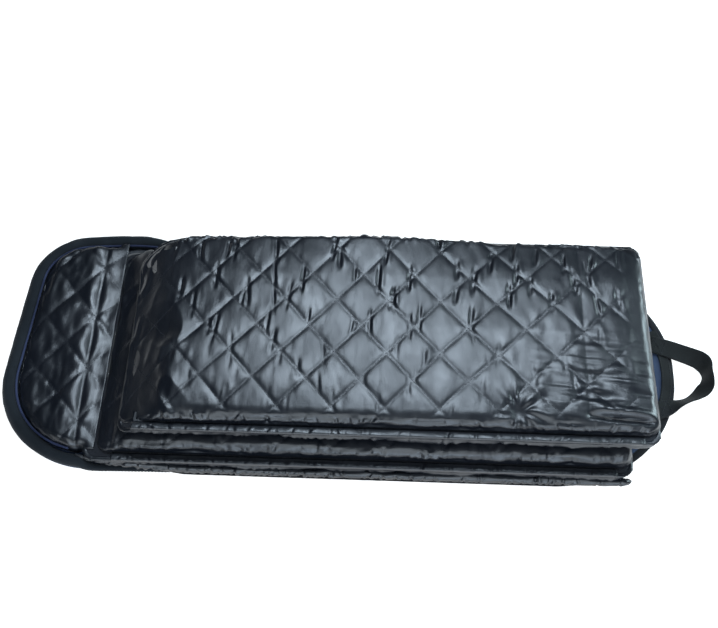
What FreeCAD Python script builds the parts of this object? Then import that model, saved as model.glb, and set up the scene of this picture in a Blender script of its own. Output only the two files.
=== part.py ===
import FreeCAD, Part

import math
import os

from FreeCAD import Vector

# Folding solar blanket, folded flat: four quilted panels stacked on a cloth base with a rounded nose flap.
#
# Millimetres.  +X runs along the folds, from the nose to the carry loop; +Y runs from the front folds to the
# back; +Z is up.  The origin is the centre of the bounding box at floor level.
#
# The panels fold like an accordion.  Panels 1 and 3 carry their solar laminate on top, panels 2 and 4 carry it
# underneath, so the laminates face each other when the blanket is shut and all lie upwards when it is open.

# ---------------------------------------------------------------- driving dimensions
CLOTH = 2.4                 # thickness of the padded base cloth
PAD = 20.0                  # thickness of one panel
GAP = 0.6                   # air between stacked panels
STEP = 12.0                 # how far each lower panel stands out at the front
PITCH = PAD + GAP           # height from one panel to the next

FRONT = -171.0              # front tip of panel 1, which is also the axis of the first fold
BACK = 150.0                # back edge of panels 1 to 3, and the axis of the middle fold
TOP_BACK = 146.0            # back edge of the top panel
LOWER_X = (-320.0, 352.0)   # ends of panel 2; panel 1 ends with it on the right
UPPER_X = (-291.0, 381.0)   # ends of panels 3 and 4
BASE_LEFT = -336.7          # where the base stops at the nose flap's fold
FLAP_RIGHT = -337.3         # where the nose flap starts

SKIN = 1.0                  # quilted cover and face cloth
EDGE_R = 13.0               # rounding of a panel's quilted edges
CORNER_R = 18.0             # rounding of a panel's corners in plan
SWEEP_X, SWEEP_Y = 110.0, 56.0    # the large rounding of each panel's back left corner

CELL_X, CELL_Y = 146.0, 52.0      # one cut solar cell
CELL_GAP = 4.0
CELL_COLUMNS, CELL_ROWS = 4, 4
LAMINATE_MARGIN = 7.0             # backsheet round the block of cells
LAMINATE_FROM_RIGHT = 13.0        # laminate's right edge from the panel's right end
WINDOW_LAP = 3.0                  # how far the face cloth laps over the laminate
FILM = (1.0, 1.25)                # depth of the clear front film below the face, from and to
RIBBON = (1.35, 1.5)
CELL = (1.5, 1.8)
BACKSHEET = (1.8, 3.0)
BOARD = (3.0, 4.5)
BOARD_MARGIN = 4.0                # stiffener board beyond the laminate
DIODE_BOX = (44.0, 22.0, 7.0)
LEAD = (7.0, 0.8)                 # flat conductor, width and thickness

NOSE_BACK, NOSE_FRONT = 175.0, -175.0
NOSE_CORNERS = [            # plan of the nose: x, y and radius of each rounded corner
    (-280.0, NOSE_FRONT, 5.0),
    (-280.0, NOSE_BACK, 5.0),
    (-448.0, NOSE_BACK, 76.0),
    (-467.0, NOSE_FRONT, 128.0),
]
BASE_CORNERS = [            # plan of the base, in the same way; its right end is almost a half circle
    (BASE_LEFT, NOSE_FRONT, 0.5),
    (412.0, NOSE_FRONT, 160.0),
    (412.0, 156.0, 160.0),
    (-215.0, 156.0, 100.0),
    (-285.0, NOSE_BACK, 100.0),
    (BASE_LEFT, NOSE_BACK, 0.5),
]
RIM_R = 10.0                # radius of the padded rim round the nose
RIM_TAPER = [               # where the rim runs on beside the stack: x, y and radius of its sections
    (BASE_LEFT, 165.0, 10.0),
    (-300.0, 164.5, 9.6),
    (-268.0, 160.5, 8.0),
    (-240.0, 156.0, 5.6),
    (-222.0, 154.0, 3.5),
]
PIPING_R = 1.6
FLAP_TOP = 28.0             # height of the nose flap's quilted pad
FLAP_EDGE_R = 12.0

STRAP_WIDTH, STRAP_THICK = 25.0, 1.8
WEBBING_X = (386.0, 399.0)        # webbing sewn across the tail
WEBBING_Y = (-68.0, 56.0)
LOOP_X, LOOP_Y = 412.5, -6.0      # the carry loop's fold line and its middle
LOOP_OUT, LOOP_HALF = 36.1, 46.0  # how far its centre line reaches out, and to each side
LOOP_SECTIONS = 25

BASE_TOP = CLOTH
LEVEL = {n: BASE_TOP + GAP + (n - 1) * PITCH for n in (1, 2, 3, 4)}   # underside of each panel
FRONT_OF = {n: FRONT + (n - 1) * STEP for n in (1, 2, 3, 4)}
BACK_OF = {1: BACK, 2: BACK, 3: BACK, 4: TOP_BACK}
ENDS_OF = {1: (BASE_LEFT, LOWER_X[1]), 2: LOWER_X, 3: UPPER_X, 4: UPPER_X}
CELLS_UP = {1: True, 2: False, 3: True, 4: False}

LAMINATE_X = CELL_COLUMNS * CELL_X + (CELL_COLUMNS - 1) * CELL_GAP + 2 * LAMINATE_MARGIN
LAMINATE_Y = CELL_ROWS * CELL_Y + (CELL_ROWS - 1) * CELL_GAP + 2 * LAMINATE_MARGIN


# ---------------------------------------------------------------- small helpers
def box(x0, x1, y0, y1, z0, z1):
    """Axis-aligned block between two corners."""
    return Part.makeBox(x1 - x0, y1 - y0, z1 - z0, Vector(x0, y0, z0))


def line(a, b):
    return Part.LineSegment(Vector(*a), Vector(*b)).toShape()


def arc(a, through, b):
    return Part.Arc(Vector(*a), Vector(*through), Vector(*b)).toShape()


def corner(centre, radius, start_deg):
    """Quarter circle in plan, from start_deg turning a right angle anticlockwise."""
    points = []
    for turn in (0, 45, 90):
        angle = math.radians(start_deg + turn)
        points.append((centre[0] + radius * math.cos(angle), centre[1] + radius * math.sin(angle), 0))
    return arc(*points)


def prism(edges, height, base=0.0):
    """Solid that stands on a closed outline in the XY plane."""
    wire = Part.Wire(Part.__sortEdges__(edges))
    solid = Part.Face(wire).extrude(Vector(0, 0, height))
    solid.translate(Vector(0, 0, base))
    return solid


def round_top(solid, radius):
    """Fillets every edge that lies in the solid's top face."""
    top = solid.BoundBox.ZMax
    edges = [e for e in solid.Edges if abs(e.BoundBox.ZMin - top) < 1e-6]
    return solid.makeFillet(radius, edges)


def save(name, shape):
    """Writes one node; a group of loose solids goes out as a compound."""
    if isinstance(shape, list):
        shape = Part.makeCompound(shape)
    for solid in shape.Solids:
        if not solid.isValid():
            raise ValueError(f"{name} has an invalid solid")
    shape.exportStep(f"parts/{name}.step")


# ---------------------------------------------------------------- one panel, in its own frame
# Local frame: x from 0 at the left end, y from 0 at the front edge, z from 0 at the laminate's face to PAD at
# the quilted face.
def panel_outline(length, width, inset, swept):
    """Plan of a panel, with its back left corner swept off if swept is true."""
    i = inset
    r = CORNER_R - i
    right, back = length - i, width - i
    edges = [
        line((i + r, i, 0), (right - r, i, 0)),
        corner((right - r, i + r), r, -90),
        line((right, i + r, 0), (right, back - r, 0)),
        corner((right - r, back - r), r, 0),
        corner((i + r, i + r), r, 180),
    ]
    a, b = (SWEEP_X - i, SWEEP_Y - i) if swept else (r, r)
    centre = Vector(i + a, back - b, 0)
    ellipse = Part.Ellipse(centre, a, b) if a > b else Part.Circle(centre, Vector(0, 0, 1), a)
    edges += [
        line((right - r, back, 0), (i + a, back, 0)),
        ellipse.toShape(math.pi / 2, math.pi),
        line((i, back - b, 0), (i, i + r, 0)),
    ]
    return edges


def pad_solid(length, width, inset, swept):
    """Padded block inside the panel's skin: its quilted edges are rounded, its laminate face is flat."""
    solid = prism(panel_outline(length, width, inset, swept), PAD - 2 * inset, inset)
    return round_top(solid, EDGE_R - inset)


def cell_positions(left, front):
    """Lower left corner of every cell in a laminate whose own corner is at left, front."""
    for column in range(CELL_COLUMNS):
        for row in range(CELL_ROWS):
            yield (
                left + LAMINATE_MARGIN + column * (CELL_X + CELL_GAP),
                front + LAMINATE_MARGIN + row * (CELL_Y + CELL_GAP),
            )


def panel_pieces(length, width, swept=True):
    """Every piece of one panel by name, in the panel's own frame."""
    right = length - LAMINATE_FROM_RIGHT
    left = right - LAMINATE_X
    front = (width - LAMINATE_Y) / 2
    back = front + LAMINATE_Y

    outer = pad_solid(length, width, 0.0, swept)
    inner = pad_solid(length, width, SKIN, swept)
    face_edge = panel_outline(length, width, 6.0, swept)
    opening = prism(face_edge, SKIN)
    cover = outer.cut(inner).cut(opening)

    window = box(left + WINDOW_LAP, right - WINDOW_LAP, front + WINDOW_LAP, back - WINDOW_LAP, 0, SKIN)
    face_cloth = opening.cut(window)

    m = BOARD_MARGIN
    board = box(left - m, right + m, front - m, back + m, *BOARD)
    backsheet = box(left, right, front, back, *BACKSHEET)
    film = box(left, right, front, back, *FILM)
    cells = [box(x, x + CELL_X, y, y + CELL_Y, *CELL) for x, y in cell_positions(left, front)]
    ribbons = ribbon_bars(left, front)

    box_x, box_y, box_z = DIODE_BOX
    middle = (left + right) / 2
    diode_box = box(middle - box_x / 2, middle + box_x / 2, back - 40 - box_y, back - 40, BOARD[0], BOARD[0] + box_z)
    board = board.cut(diode_box)

    lead_w, lead_t = LEAD
    leads = []
    for offset in (-14.0, 14.0):
        x0 = middle + offset - lead_w / 2
        leads.append(box(x0, x0 + lead_w, 3.0, front, BACKSHEET[0], BACKSHEET[0] + lead_t))
        leads.append(box(x0, x0 + lead_w, back, width - 3.0, BACKSHEET[0], BACKSHEET[0] + lead_t))

    recess = box(left - m, right + m, front - m, back + m, SKIN, BOARD[1])
    wadding = inner.cut(recess).cut(diode_box)
    for lead in leads:
        wadding = wadding.cut(lead)
        board = board.cut(lead)
    return {
        "quilt_cover": cover,
        "wadding": wadding,
        "face_cloth": face_cloth,
        "stiffener_board": board,
        "backsheet": backsheet,
        "solar_cells": cells,
        "cell_ribbons": ribbons,
        "front_film": film,
        "diode_box": diode_box,
        "flat_leads": leads,
    }


def ribbon_bars(left, front):
    """Five flat wires along each row of cells, and the cross bars that join the rows at both ends."""
    bars = []
    first_x = left + LAMINATE_MARGIN - 3.0
    last_x = left + LAMINATE_X - LAMINATE_MARGIN + 3.0
    wires = 5
    for row in range(CELL_ROWS):
        y = front + LAMINATE_MARGIN + row * (CELL_Y + CELL_GAP)
        for wire in range(wires):
            middle = y + CELL_Y * (wire + 0.5) / wires
            bars.append(box(first_x, last_x, middle - 0.45, middle + 0.45, *RIBBON))
    pairs = CELL_ROWS // 2
    for end, rows_from in ((first_x - 3.0, 0), (last_x, 1)):
        for pair in range(pairs if rows_from == 0 else pairs - 1):
            row = rows_from + 2 * pair
            y = front + LAMINATE_MARGIN + row * (CELL_Y + CELL_GAP)
            bars.append(box(end, end + 3.0, y + 3.0, y + 2 * CELL_Y + CELL_GAP - 3.0, *RIBBON))
    return bars


def place(shape, number):
    """Puts a panel's piece in the blanket: shifted to its corner, and turned over if its cells face up."""
    x0 = ENDS_OF[number][0]
    y0 = FRONT_OF[number]
    z0 = LEVEL[number]
    pieces = shape if isinstance(shape, list) else [shape]
    placed = []
    for piece in pieces:
        if CELLS_UP[number]:
            piece = piece.mirror(Vector(0, 0, PAD / 2), Vector(0, 0, 1))
        moved = piece.copy()
        moved.translate(Vector(x0, y0, z0))
        placed.append(moved)
    return placed if isinstance(shape, list) else placed[0]


def make_panel(number):
    left, right = ENDS_OF[number]
    width = BACK_OF[number] - FRONT_OF[number]
    pieces = panel_pieces(right - left, width)
    if number == 1:
        cut_junction_recess(pieces)
    for name, shape in pieces.items():
        save(f"{name}_{number}", place(shape, number))


# ---------------------------------------------------------------- junction box in panel 1
JUNCTION = (14.0, 54.0, 120.0, 190.0)    # x and y range in panel 1's own frame
JUNCTION_DEEP = 14.0
JUNCTION_WALL = 2.0
SOCKET_R = 5.0


def junction_parts():
    """Housing, lid, output socket and lid screws, in panel 1's own frame, lid flush with the face."""
    x0, x1, y0, y1 = JUNCTION
    w = JUNCTION_WALL
    housing = box(x0, x1, y0, y1, 2.0, JUNCTION_DEEP)
    housing = housing.cut(box(x0 + w, x1 - w, y0 + w, y1 - w, 2.0, JUNCTION_DEEP - w))
    screw_places = [(x0 + 5, y0 + 5), (x1 - 5, y0 + 5), (x0 + 5, y1 - 5), (x1 - 5, y1 - 5)]
    for x, y in screw_places:
        post = Part.makeCylinder(3.2, JUNCTION_DEEP - w - 2.0, Vector(x, y, 2.0))
        hole = Part.makeCylinder(1.2, 8.0, Vector(x, y, 2.0))
        housing = housing.fuse(post).cut(hole)
    lid = box(x0, x1, y0, y1, 0.2, 2.0)
    socket_at = Vector((x0 + x1) / 2, (y0 + y1) / 2, 0.2)
    lid = lid.cut(Part.makeCylinder(SOCKET_R, 3, socket_at))
    screws = []
    for x, y in screw_places:
        lid = lid.cut(Part.makeCylinder(2.2, 1.0, Vector(x, y, 0.2))).cut(
            Part.makeCylinder(1.2, 3.0, Vector(x, y, 0.2))
        )
        head = Part.makeCylinder(2.2, 1.0, Vector(x, y, 0.2))
        screws.append(head.fuse(Part.makeCylinder(1.2, 7.0, Vector(x, y, 1.2))))
    socket = Part.makeCylinder(SOCKET_R, 10.0, socket_at)
    socket = socket.cut(Part.makeCylinder(SOCKET_R - 1.5, 8.0, socket_at))
    socket = socket.fuse(Part.makeCylinder(1.0, 9.0, socket_at + Vector(0, 0, 0.6)))
    return {"junction_box": housing, "junction_lid": lid, "output_socket": socket, "junction_screws": screws}


def cut_junction_recess(pieces):
    """Makes room for the junction box in panel 1's wadding and face cloth, and saves the box's own pieces."""
    x0, x1, y0, y1 = JUNCTION
    room = box(x0, x1, y0, y1, 0, JUNCTION_DEEP)
    pieces["wadding"] = pieces["wadding"].cut(room)
    pieces["face_cloth"] = pieces["face_cloth"].cut(room)
    for name, shape in junction_parts().items():
        save(name, place(shape, 1))


# ---------------------------------------------------------------- nose flap and its rim
def rounded_outline(corners):
    """Closed wire of straight runs joined by tangent arcs; each corner is (x, y, radius)."""
    count = len(corners)
    ends = []
    for i, (x, y, radius) in enumerate(corners):
        here = Vector(x, y, 0)
        before = (Vector(*corners[i - 1][:2], 0) - here).normalize()
        after = (Vector(*corners[(i + 1) % count][:2], 0) - here).normalize()
        half = before.getAngle(after) / 2
        inwards = (before + after).normalize()
        reach = radius / math.tan(half)
        middle = here + inwards * (radius / math.sin(half) - radius)
        ends.append((here + before * reach, middle, here + after * reach))
    edges = []
    for i, (start, middle, end) in enumerate(ends):
        edges.append(Part.Arc(start, middle, end).toShape())
        edges.append(Part.LineSegment(end, ends[(i + 1) % count][0]).toShape())
    return Part.Wire(edges)


def nose_outline(inset):
    """Plan of the nose moved in by inset; it runs on to the right of the fold and is cut there later."""
    wire = rounded_outline(NOSE_CORNERS)
    return wire.makeOffset2D(-inset) if inset else wire


def nose_prism(inset, right, height, base):
    """Solid over the nose's plan as far as the given right end."""
    solid = Part.Face(nose_outline(inset)).extrude(Vector(0, 0, height))
    solid.translate(Vector(0, 0, base))
    return solid.common(box(-600, right, -300, 300, base, base + height))


def nose_tube(inset, radius, height):
    """Round tube that follows the nose's plan at the given height of its centre line."""
    keep = box(-600, FLAP_RIGHT, -300, 300, -1, 1)
    spans = []
    for edge in nose_outline(inset).common(keep).Edges:
        start = edge.valueAt(edge.FirstParameter)
        tangent = edge.tangentAt(edge.FirstParameter)
        disc = Part.Face(Part.Wire([Part.Circle(start, tangent, radius).toShape()]))
        if isinstance(edge.Curve, Part.Circle):
            turn = math.degrees(edge.LastParameter - edge.FirstParameter)
            spans.append(disc.revolve(edge.Curve.Center, edge.Curve.Axis, turn))
        else:
            spans.append(disc.extrude(tangent * edge.Length))
    tube = spans[0].multiFuse(spans[1:]).common(box(-600, FLAP_RIGHT, -300, 300, -radius, radius))
    tube.translate(Vector(0, 0, height))
    return tube


def make_flap():
    save("flap_cloth", nose_prism(0.0, FLAP_RIGHT, CLOTH, 0.0))

    save("flap_rim", nose_tube(RIM_R, RIM_R, CLOTH + RIM_R))
    inset = 2 * RIM_R + PIPING_R
    save("flap_piping", nose_tube(inset, PIPING_R, CLOTH + 12.0))

    pad_inset = inset + PIPING_R + 0.4
    pad = round_top(nose_prism(pad_inset, FLAP_RIGHT, FLAP_TOP - CLOTH, CLOTH), FLAP_EDGE_R)
    core = round_top(
        nose_prism(pad_inset + SKIN, FLAP_RIGHT - SKIN, FLAP_TOP - SKIN - CLOTH, CLOTH), FLAP_EDGE_R - SKIN
    )
    save("flap_quilt_cover", pad.cut(core))
    save("flap_wadding", core)


# ---------------------------------------------------------------- cloth base and what is sewn to it
def make_base():
    base = Part.Face(rounded_outline(BASE_CORNERS)).extrude(Vector(0, 0, CLOTH))
    save("base_cloth", base)
    make_base_rim()
    make_tail_webbing()


def make_base_rim():
    """Short run of the padded rim that carries on past the nose and thins out."""
    rings = []
    for x, y, r in RIM_TAPER:
        ring = Part.Circle(Vector(x, y, CLOTH + r), Vector(1, 0, 0), r).toShape()
        rings.append(Part.Wire([ring]))
    save("base_rim", Part.makeLoft(rings, True, True))


def make_tail_webbing():
    """Webbing sewn across the tail, the two stitched patches on it, and their stitches."""
    x0, x1 = WEBBING_X
    y0, y1 = WEBBING_Y
    save("tail_webbing", box(x0, x1, y0, y1, CLOTH, CLOTH + STRAP_THICK))
    top = CLOTH + STRAP_THICK
    stitches = []
    for side in (-1, 1):
        middle = LOOP_Y + side * LOOP_HALF
        for bar in (-9.0, -3.0, 3.0, 9.0):
            stitches.append(box(x0 + 3.0, x1 - 3.0, middle + bar - 0.6, middle + bar + 0.6, top, top + 0.5))
    save("loop_stitches", stitches)


def loop_section(turn):
    """One cross-section of the carry loop's strap; turn runs from 90 degrees at the back end to -90 at the front."""
    angle = math.radians(turn)
    out = Vector(LOOP_HALF * math.cos(angle), LOOP_OUT * math.sin(angle), 0).normalize()
    lean = math.radians(12.0 + 16.0 * math.cos(angle))
    across = out * math.cos(lean) + Vector(0, 0, math.sin(lean))
    normal = Vector(0, 0, math.cos(lean)) - out * math.sin(lean)
    lowest = 0.4 + 2.6 * math.sin(angle) ** 2
    height = lowest + STRAP_THICK / 2 * math.cos(lean) + STRAP_WIDTH / 2 * math.sin(lean)
    centre = Vector(LOOP_X + LOOP_OUT * math.cos(angle), LOOP_Y + LOOP_HALF * math.sin(angle), height)
    w, t = across * (STRAP_WIDTH / 2), normal * (STRAP_THICK / 2)
    corners = [centre - w - t, centre + w - t, centre + w + t, centre - w + t]
    return Part.makePolygon(corners + corners[:1])


def make_loop():
    sections = []
    for step in range(LOOP_SECTIONS):
        sections.append(loop_section(90.0 - 180.0 * step / (LOOP_SECTIONS - 1)))
    save("carry_loop", Part.makeLoft(sections, True, True))


# ---------------------------------------------------------------- fold tapes
TAPE_THICK = 0.3
TAPE_LAP = 16.0


def make_tapes():
    """Tape of each fold, lying in the air between the two panels that it joins, back from the fold's axis."""
    middle = (GAP - TAPE_THICK) / 2
    for name, panel, axis, direction in (
        ("fold_tape_front_lower", 2, FRONT_OF[1], 1),
        ("fold_tape_back", 3, BACK, -1),
        ("fold_tape_front_upper", 4, FRONT_OF[3], 1),
    ):
        left = ENDS_OF[panel][0] + (SWEEP_X if direction < 0 else CORNER_R)
        right = ENDS_OF[2][1] - CORNER_R if direction < 0 else ENDS_OF[panel][1] - CORNER_R
        far = axis + direction * (TAPE_LAP + STEP)
        y0, y1 = min(axis, far), max(axis, far)
        z0 = LEVEL[panel] - GAP + middle
        save(name, box(left, right, y0, y1, z0, z0 + TAPE_THICK))


def main():
    os.makedirs("parts", exist_ok=True)
    for number in (1, 2, 3, 4):
        make_panel(number)
    make_base()
    make_flap()
    make_loop()
    make_tapes()


main()
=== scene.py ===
import math

import bmesh
import bpy
import numpy as np
from mathutils import Matrix, Vector


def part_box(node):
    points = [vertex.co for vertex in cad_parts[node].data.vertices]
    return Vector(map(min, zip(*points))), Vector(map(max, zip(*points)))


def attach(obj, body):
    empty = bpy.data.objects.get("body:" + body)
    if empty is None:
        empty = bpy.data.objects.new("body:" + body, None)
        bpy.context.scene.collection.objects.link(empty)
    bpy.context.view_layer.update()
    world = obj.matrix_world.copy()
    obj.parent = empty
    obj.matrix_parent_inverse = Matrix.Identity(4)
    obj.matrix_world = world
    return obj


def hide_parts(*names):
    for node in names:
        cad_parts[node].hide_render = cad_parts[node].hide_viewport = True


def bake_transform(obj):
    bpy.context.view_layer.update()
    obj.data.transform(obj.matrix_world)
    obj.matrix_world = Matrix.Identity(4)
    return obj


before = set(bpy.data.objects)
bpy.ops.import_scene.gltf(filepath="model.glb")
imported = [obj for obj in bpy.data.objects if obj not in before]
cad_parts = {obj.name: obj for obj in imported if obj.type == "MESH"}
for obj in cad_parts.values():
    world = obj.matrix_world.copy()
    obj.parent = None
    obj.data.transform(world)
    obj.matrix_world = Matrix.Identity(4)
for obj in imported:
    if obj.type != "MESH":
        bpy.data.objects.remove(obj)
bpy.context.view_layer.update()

# Looks of the folded solar blanket.  Shapes are worked out in millimetres in the frame's own axes and turned
# into metres when a mesh is made.

MM = 0.001


# ---------------------------------------------------------------- frame sizes
def cad_box(node):
    """Lowest and highest corner of a CAD node, in millimetres."""
    low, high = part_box(node)
    return np.array(low) * 1000, np.array(high) * 1000


FOLD_X = -337.0                 # axis of the nose flap's fold
PAD_ROUND = 13.0                # rounding of a panel's quilted edge
PLAN_ROUND = 18.0               # rounding of a panel's corners in plan
SWEEP = (110.0, 56.0)           # large rounding of the back left corner in plan
HEM = 6.0                       # how far the quilted cover turns in on the laminate side
PAD_THICK = 20.0
CAP_DEPTH = 5.2                 # closed inner side of a cover, behind the boards
PANELS = (1, 2, 3, 4)
CELLS_UP = {1: True, 2: False, 3: True, 4: False}
BODY_OF = {1: "base", 2: "panel_2", 3: "panel_3", 4: "panel_4"}
TOP_PANEL = 4


# ---------------------------------------------------------------- mesh helpers
def shade_smooth(mesh):
    mesh.polygons.foreach_set("use_smooth", [True] * len(mesh.polygons))


def mesh_object(name, points, faces):
    """Object from points in millimetres, with its normals facing out."""
    mesh = bpy.data.meshes.new(name)
    mesh.from_pydata((np.asarray(points, float) * MM).tolist(), [], faces)
    work = bmesh.new()
    work.from_mesh(mesh)
    bmesh.ops.recalc_face_normals(work, faces=work.faces)
    work.to_mesh(mesh)
    work.free()
    shade_smooth(mesh)
    mesh.update()
    obj = bpy.data.objects.new(name, mesh)
    bpy.context.scene.collection.objects.link(obj)
    return obj


def grid_faces(rows, columns, offset=0, wrap_rows=False, wrap_columns=False):
    """Quads of a grid of points stored row by row."""
    faces = []
    for j in range(rows if wrap_rows else rows - 1):
        for i in range(columns if wrap_columns else columns - 1):
            k = (j + 1) % rows
            m = (i + 1) % columns
            faces.append((offset + j * columns + i, offset + j * columns + m,
                          offset + k * columns + m, offset + k * columns + i))
    return faces


def border_loop(rows, columns):
    """Indices round the border of a grid, in order."""
    bottom = list(range(columns))
    right = [j * columns + columns - 1 for j in range(1, rows)]
    top = [(rows - 1) * columns + i for i in range(columns - 2, -1, -1)]
    left = [j * columns for j in range(rows - 2, 0, -1)]
    return bottom + right + top + left


def ladder_cap(rows, columns, offset):
    """Faces that close a ring of points made by border_loop: quads across it and one face at each end."""
    def top(i):
        return offset + 2 * columns + rows - 3 - i

    faces = [(offset + i, offset + i + 1, top(i + 1), top(i)) for i in range(columns - 1)]
    faces.append(tuple(range(offset + columns - 1, offset + columns + rows - 1)))
    left = range(offset + 2 * columns + rows - 3, offset + 2 * columns + 2 * rows - 4)
    faces.append(tuple(left) + (offset,))
    return faces


def ring_wall(first, second):
    """Quads between two closed rings of point numbers."""
    faces = []
    for k in range(len(first)):
        m = (k + 1) % len(first)
        faces.append((first[k], first[m], second[m], second[k]))
    return faces


def closed_pair(name, upper, lower):
    """Closed piece between two grids of points of the same size."""
    rows, columns = upper.shape[:2]
    total = rows * columns
    faces = grid_faces(rows, columns) + grid_faces(rows, columns, total)
    ring = border_loop(rows, columns)
    faces += ring_wall(ring, [total + k for k in ring])
    return mesh_object(name, np.concatenate([upper.reshape(-1, 3), lower.reshape(-1, 3)]), faces)


def capped_rings(name, rings):
    """Closed piece from (count, sides, 3) rings of points along a path, with a flat cap at each end."""
    count, sides = rings.shape[:2]
    faces = grid_faces(count, sides, wrap_columns=True)
    faces.append(tuple(range(sides)))
    faces.append(tuple((count - 1) * sides + k for k in range(sides)))
    return mesh_object(name, rings.reshape(-1, 3), faces)


def sweep_tube(name, path, radii, sides, squash=1.0, ripple=None):
    """Tube along a path; radii may vary, squash flattens its height, and ripple adds to the radius."""
    tangents = unit(np.gradient(path, axis=0))
    side = unit(np.cross(tangents, (0, 0, 1)))
    up = np.cross(side, tangents)
    rings = np.zeros((len(path), sides, 3))
    for k, angle in enumerate(np.linspace(0, 2 * math.pi, sides, endpoint=False)):
        extra = 0 if ripple is None else ripple(path, angle)
        reach = (np.broadcast_to(radii, len(path)) + extra)[:, None]
        rings[:, k] = path + reach * (side * math.cos(angle) + up * math.sin(angle) * squash)
    return capped_rings(name, rings)


def run_along(path):
    """Distance along a path at each of its points."""
    return np.concatenate([[0], np.cumsum(np.linalg.norm(np.diff(path, axis=0), axis=1))])


def smooth_noise(x, y, seed, octaves=3):
    """Soft noise between about -1 and 1 over arrays of places measured in its own wavelengths."""
    x, y = np.broadcast_arrays(x, y)
    total = np.zeros(x.shape)
    size = 1.0
    for octave in range(octaves):
        table = np.random.RandomState(seed + octave).uniform(-1, 1, (64, 64))
        fx, fy = x * 2 ** octave, y * 2 ** octave
        ix, iy = np.floor(fx).astype(int), np.floor(fy).astype(int)
        tx, ty = fx - ix, fy - iy
        tx, ty = tx * tx * (3 - 2 * tx), ty * ty * (3 - 2 * ty)
        c00, c10 = table[iy % 64, ix % 64], table[iy % 64, (ix + 1) % 64]
        c01, c11 = table[(iy + 1) % 64, ix % 64], table[(iy + 1) % 64, (ix + 1) % 64]
        total += size * ((c00 * (1 - tx) + c10 * tx) * (1 - ty) + (c01 * (1 - tx) + c11 * tx) * ty)
        size *= 0.5
    return total


def step(value, low, high):
    """Smooth ramp from 0 at low to 1 at high."""
    t = np.clip((value - low) / (high - low), 0, 1)
    return t * t * (3 - 2 * t)


def sample_grid(grid, row, column):
    """Value of a (rows, columns, n) grid at fractional places."""
    rows, columns = grid.shape[:2]
    row, column = np.clip(row, 0, rows - 1.001), np.clip(column, 0, columns - 1.001)
    j, i = np.floor(row).astype(int), np.floor(column).astype(int)
    t, s = (row - j)[..., None], (column - i)[..., None]
    low = grid[j, i] * (1 - s) + grid[j, i + 1] * s
    high = grid[j + 1, i] * (1 - s) + grid[j + 1, i + 1] * s
    return low * (1 - t) + high * t


def unit(vectors):
    return vectors / (np.linalg.norm(vectors, axis=-1, keepdims=True) + 1e-9)


def surface_axes(points):
    """Unit directions along the columns and rows of a grid of points, and its normal."""
    along = unit(np.gradient(points, axis=1))
    across = unit(np.gradient(points, axis=0))
    return along, across, unit(np.cross(along, across))


# ---------------------------------------------------------------- outline of rounded plans
def rounded_plan(corners, spacing=3.0):
    """Points round a closed plan of straight runs and tangent arcs; each corner is (x, y, radius)."""
    points = []
    count = len(corners)
    for i, (x, y, radius) in enumerate(corners):
        here = np.array((x, y))
        before = unit(np.array(corners[i - 1][:2]) - here)
        after = unit(np.array(corners[(i + 1) % count][:2]) - here)
        half = math.acos(float(before @ after)) / 2
        centre = here + unit(before + after) * radius / math.sin(half)
        first = here + before * radius / math.tan(half) - centre
        last = here + after * radius / math.tan(half) - centre
        sweep = math.pi - 2 * half
        steps = max(2, int(radius * sweep / spacing))
        start = math.atan2(first[1], first[0])
        turn = sweep if first[0] * last[1] - first[1] * last[0] > 0 else -sweep
        for k in range(steps + 1):
            angle = start + turn * k / steps
            points.append(centre + radius * np.array((math.cos(angle), math.sin(angle))))
    dense = []
    for i, point in enumerate(points):
        following = points[(i + 1) % len(points)]
        pieces = max(1, int(np.linalg.norm(following - point) / spacing))
        for k in range(pieces):
            dense.append(point + (following - point) * k / pieces)
    return np.array(dense)


def moved_in(plan, distance):
    """The plan moved in by a distance along its normals."""
    tangent = np.roll(plan, -1, 0) - np.roll(plan, 1, 0)
    inward = unit(np.stack([-tangent[:, 1], tangent[:, 0]], 1))
    area = np.sum(plan[:, 0] * np.roll(plan[:, 1], -1) - plan[:, 1] * np.roll(plan[:, 0], -1))
    return plan + inward * distance * np.sign(area)


def nearest_on(plan, points):
    """Closest points of a closed plan, for many points."""
    start, end = plan, np.roll(plan, -1, 0)
    run = end - start
    length = (run ** 2).sum(1)
    best = np.full(len(points), 1e12)
    found = np.zeros((len(points), 2))
    for a, d, ll in zip(start, run, length):
        t = np.clip(((points - a) @ d) / ll, 0, 1)
        place = a + t[:, None] * d
        gap = ((points - place) ** 2).sum(1)
        nearer = gap < best
        best[nearer] = gap[nearer]
        found[nearer] = place[nearer]
    return found


def inside_plan(plan, points):
    """Which points lie inside a closed plan."""
    inside = np.zeros(len(points), bool)
    for a, b in zip(plan, np.roll(plan, -1, 0)):
        crosses = (a[1] > points[:, 1]) != (b[1] > points[:, 1])
        slope = (b[0] - a[0]) / (b[1] - a[1] + 1e-12)
        inside ^= crosses & (points[:, 0] < a[0] + (points[:, 1] - a[1]) * slope)
    return inside


# ---------------------------------------------------------------- cloth simulation of quilted satin
LATTICE_X, LATTICE_Y = 67.0, 78.0    # one diamond of the quilting
SIM_SCALE = 0.01                     # simulated ten times as large as life, where Cloth behaves
SIM_STEPS = 24                       # points across one diamond
SIM_FRAMES = 30                      # the seams are gathered in the first half of them
SLACK_X, SLACK_Y = 1.085, 1.02       # how much larger the satin is cut than the sheet it is sewn to


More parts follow.
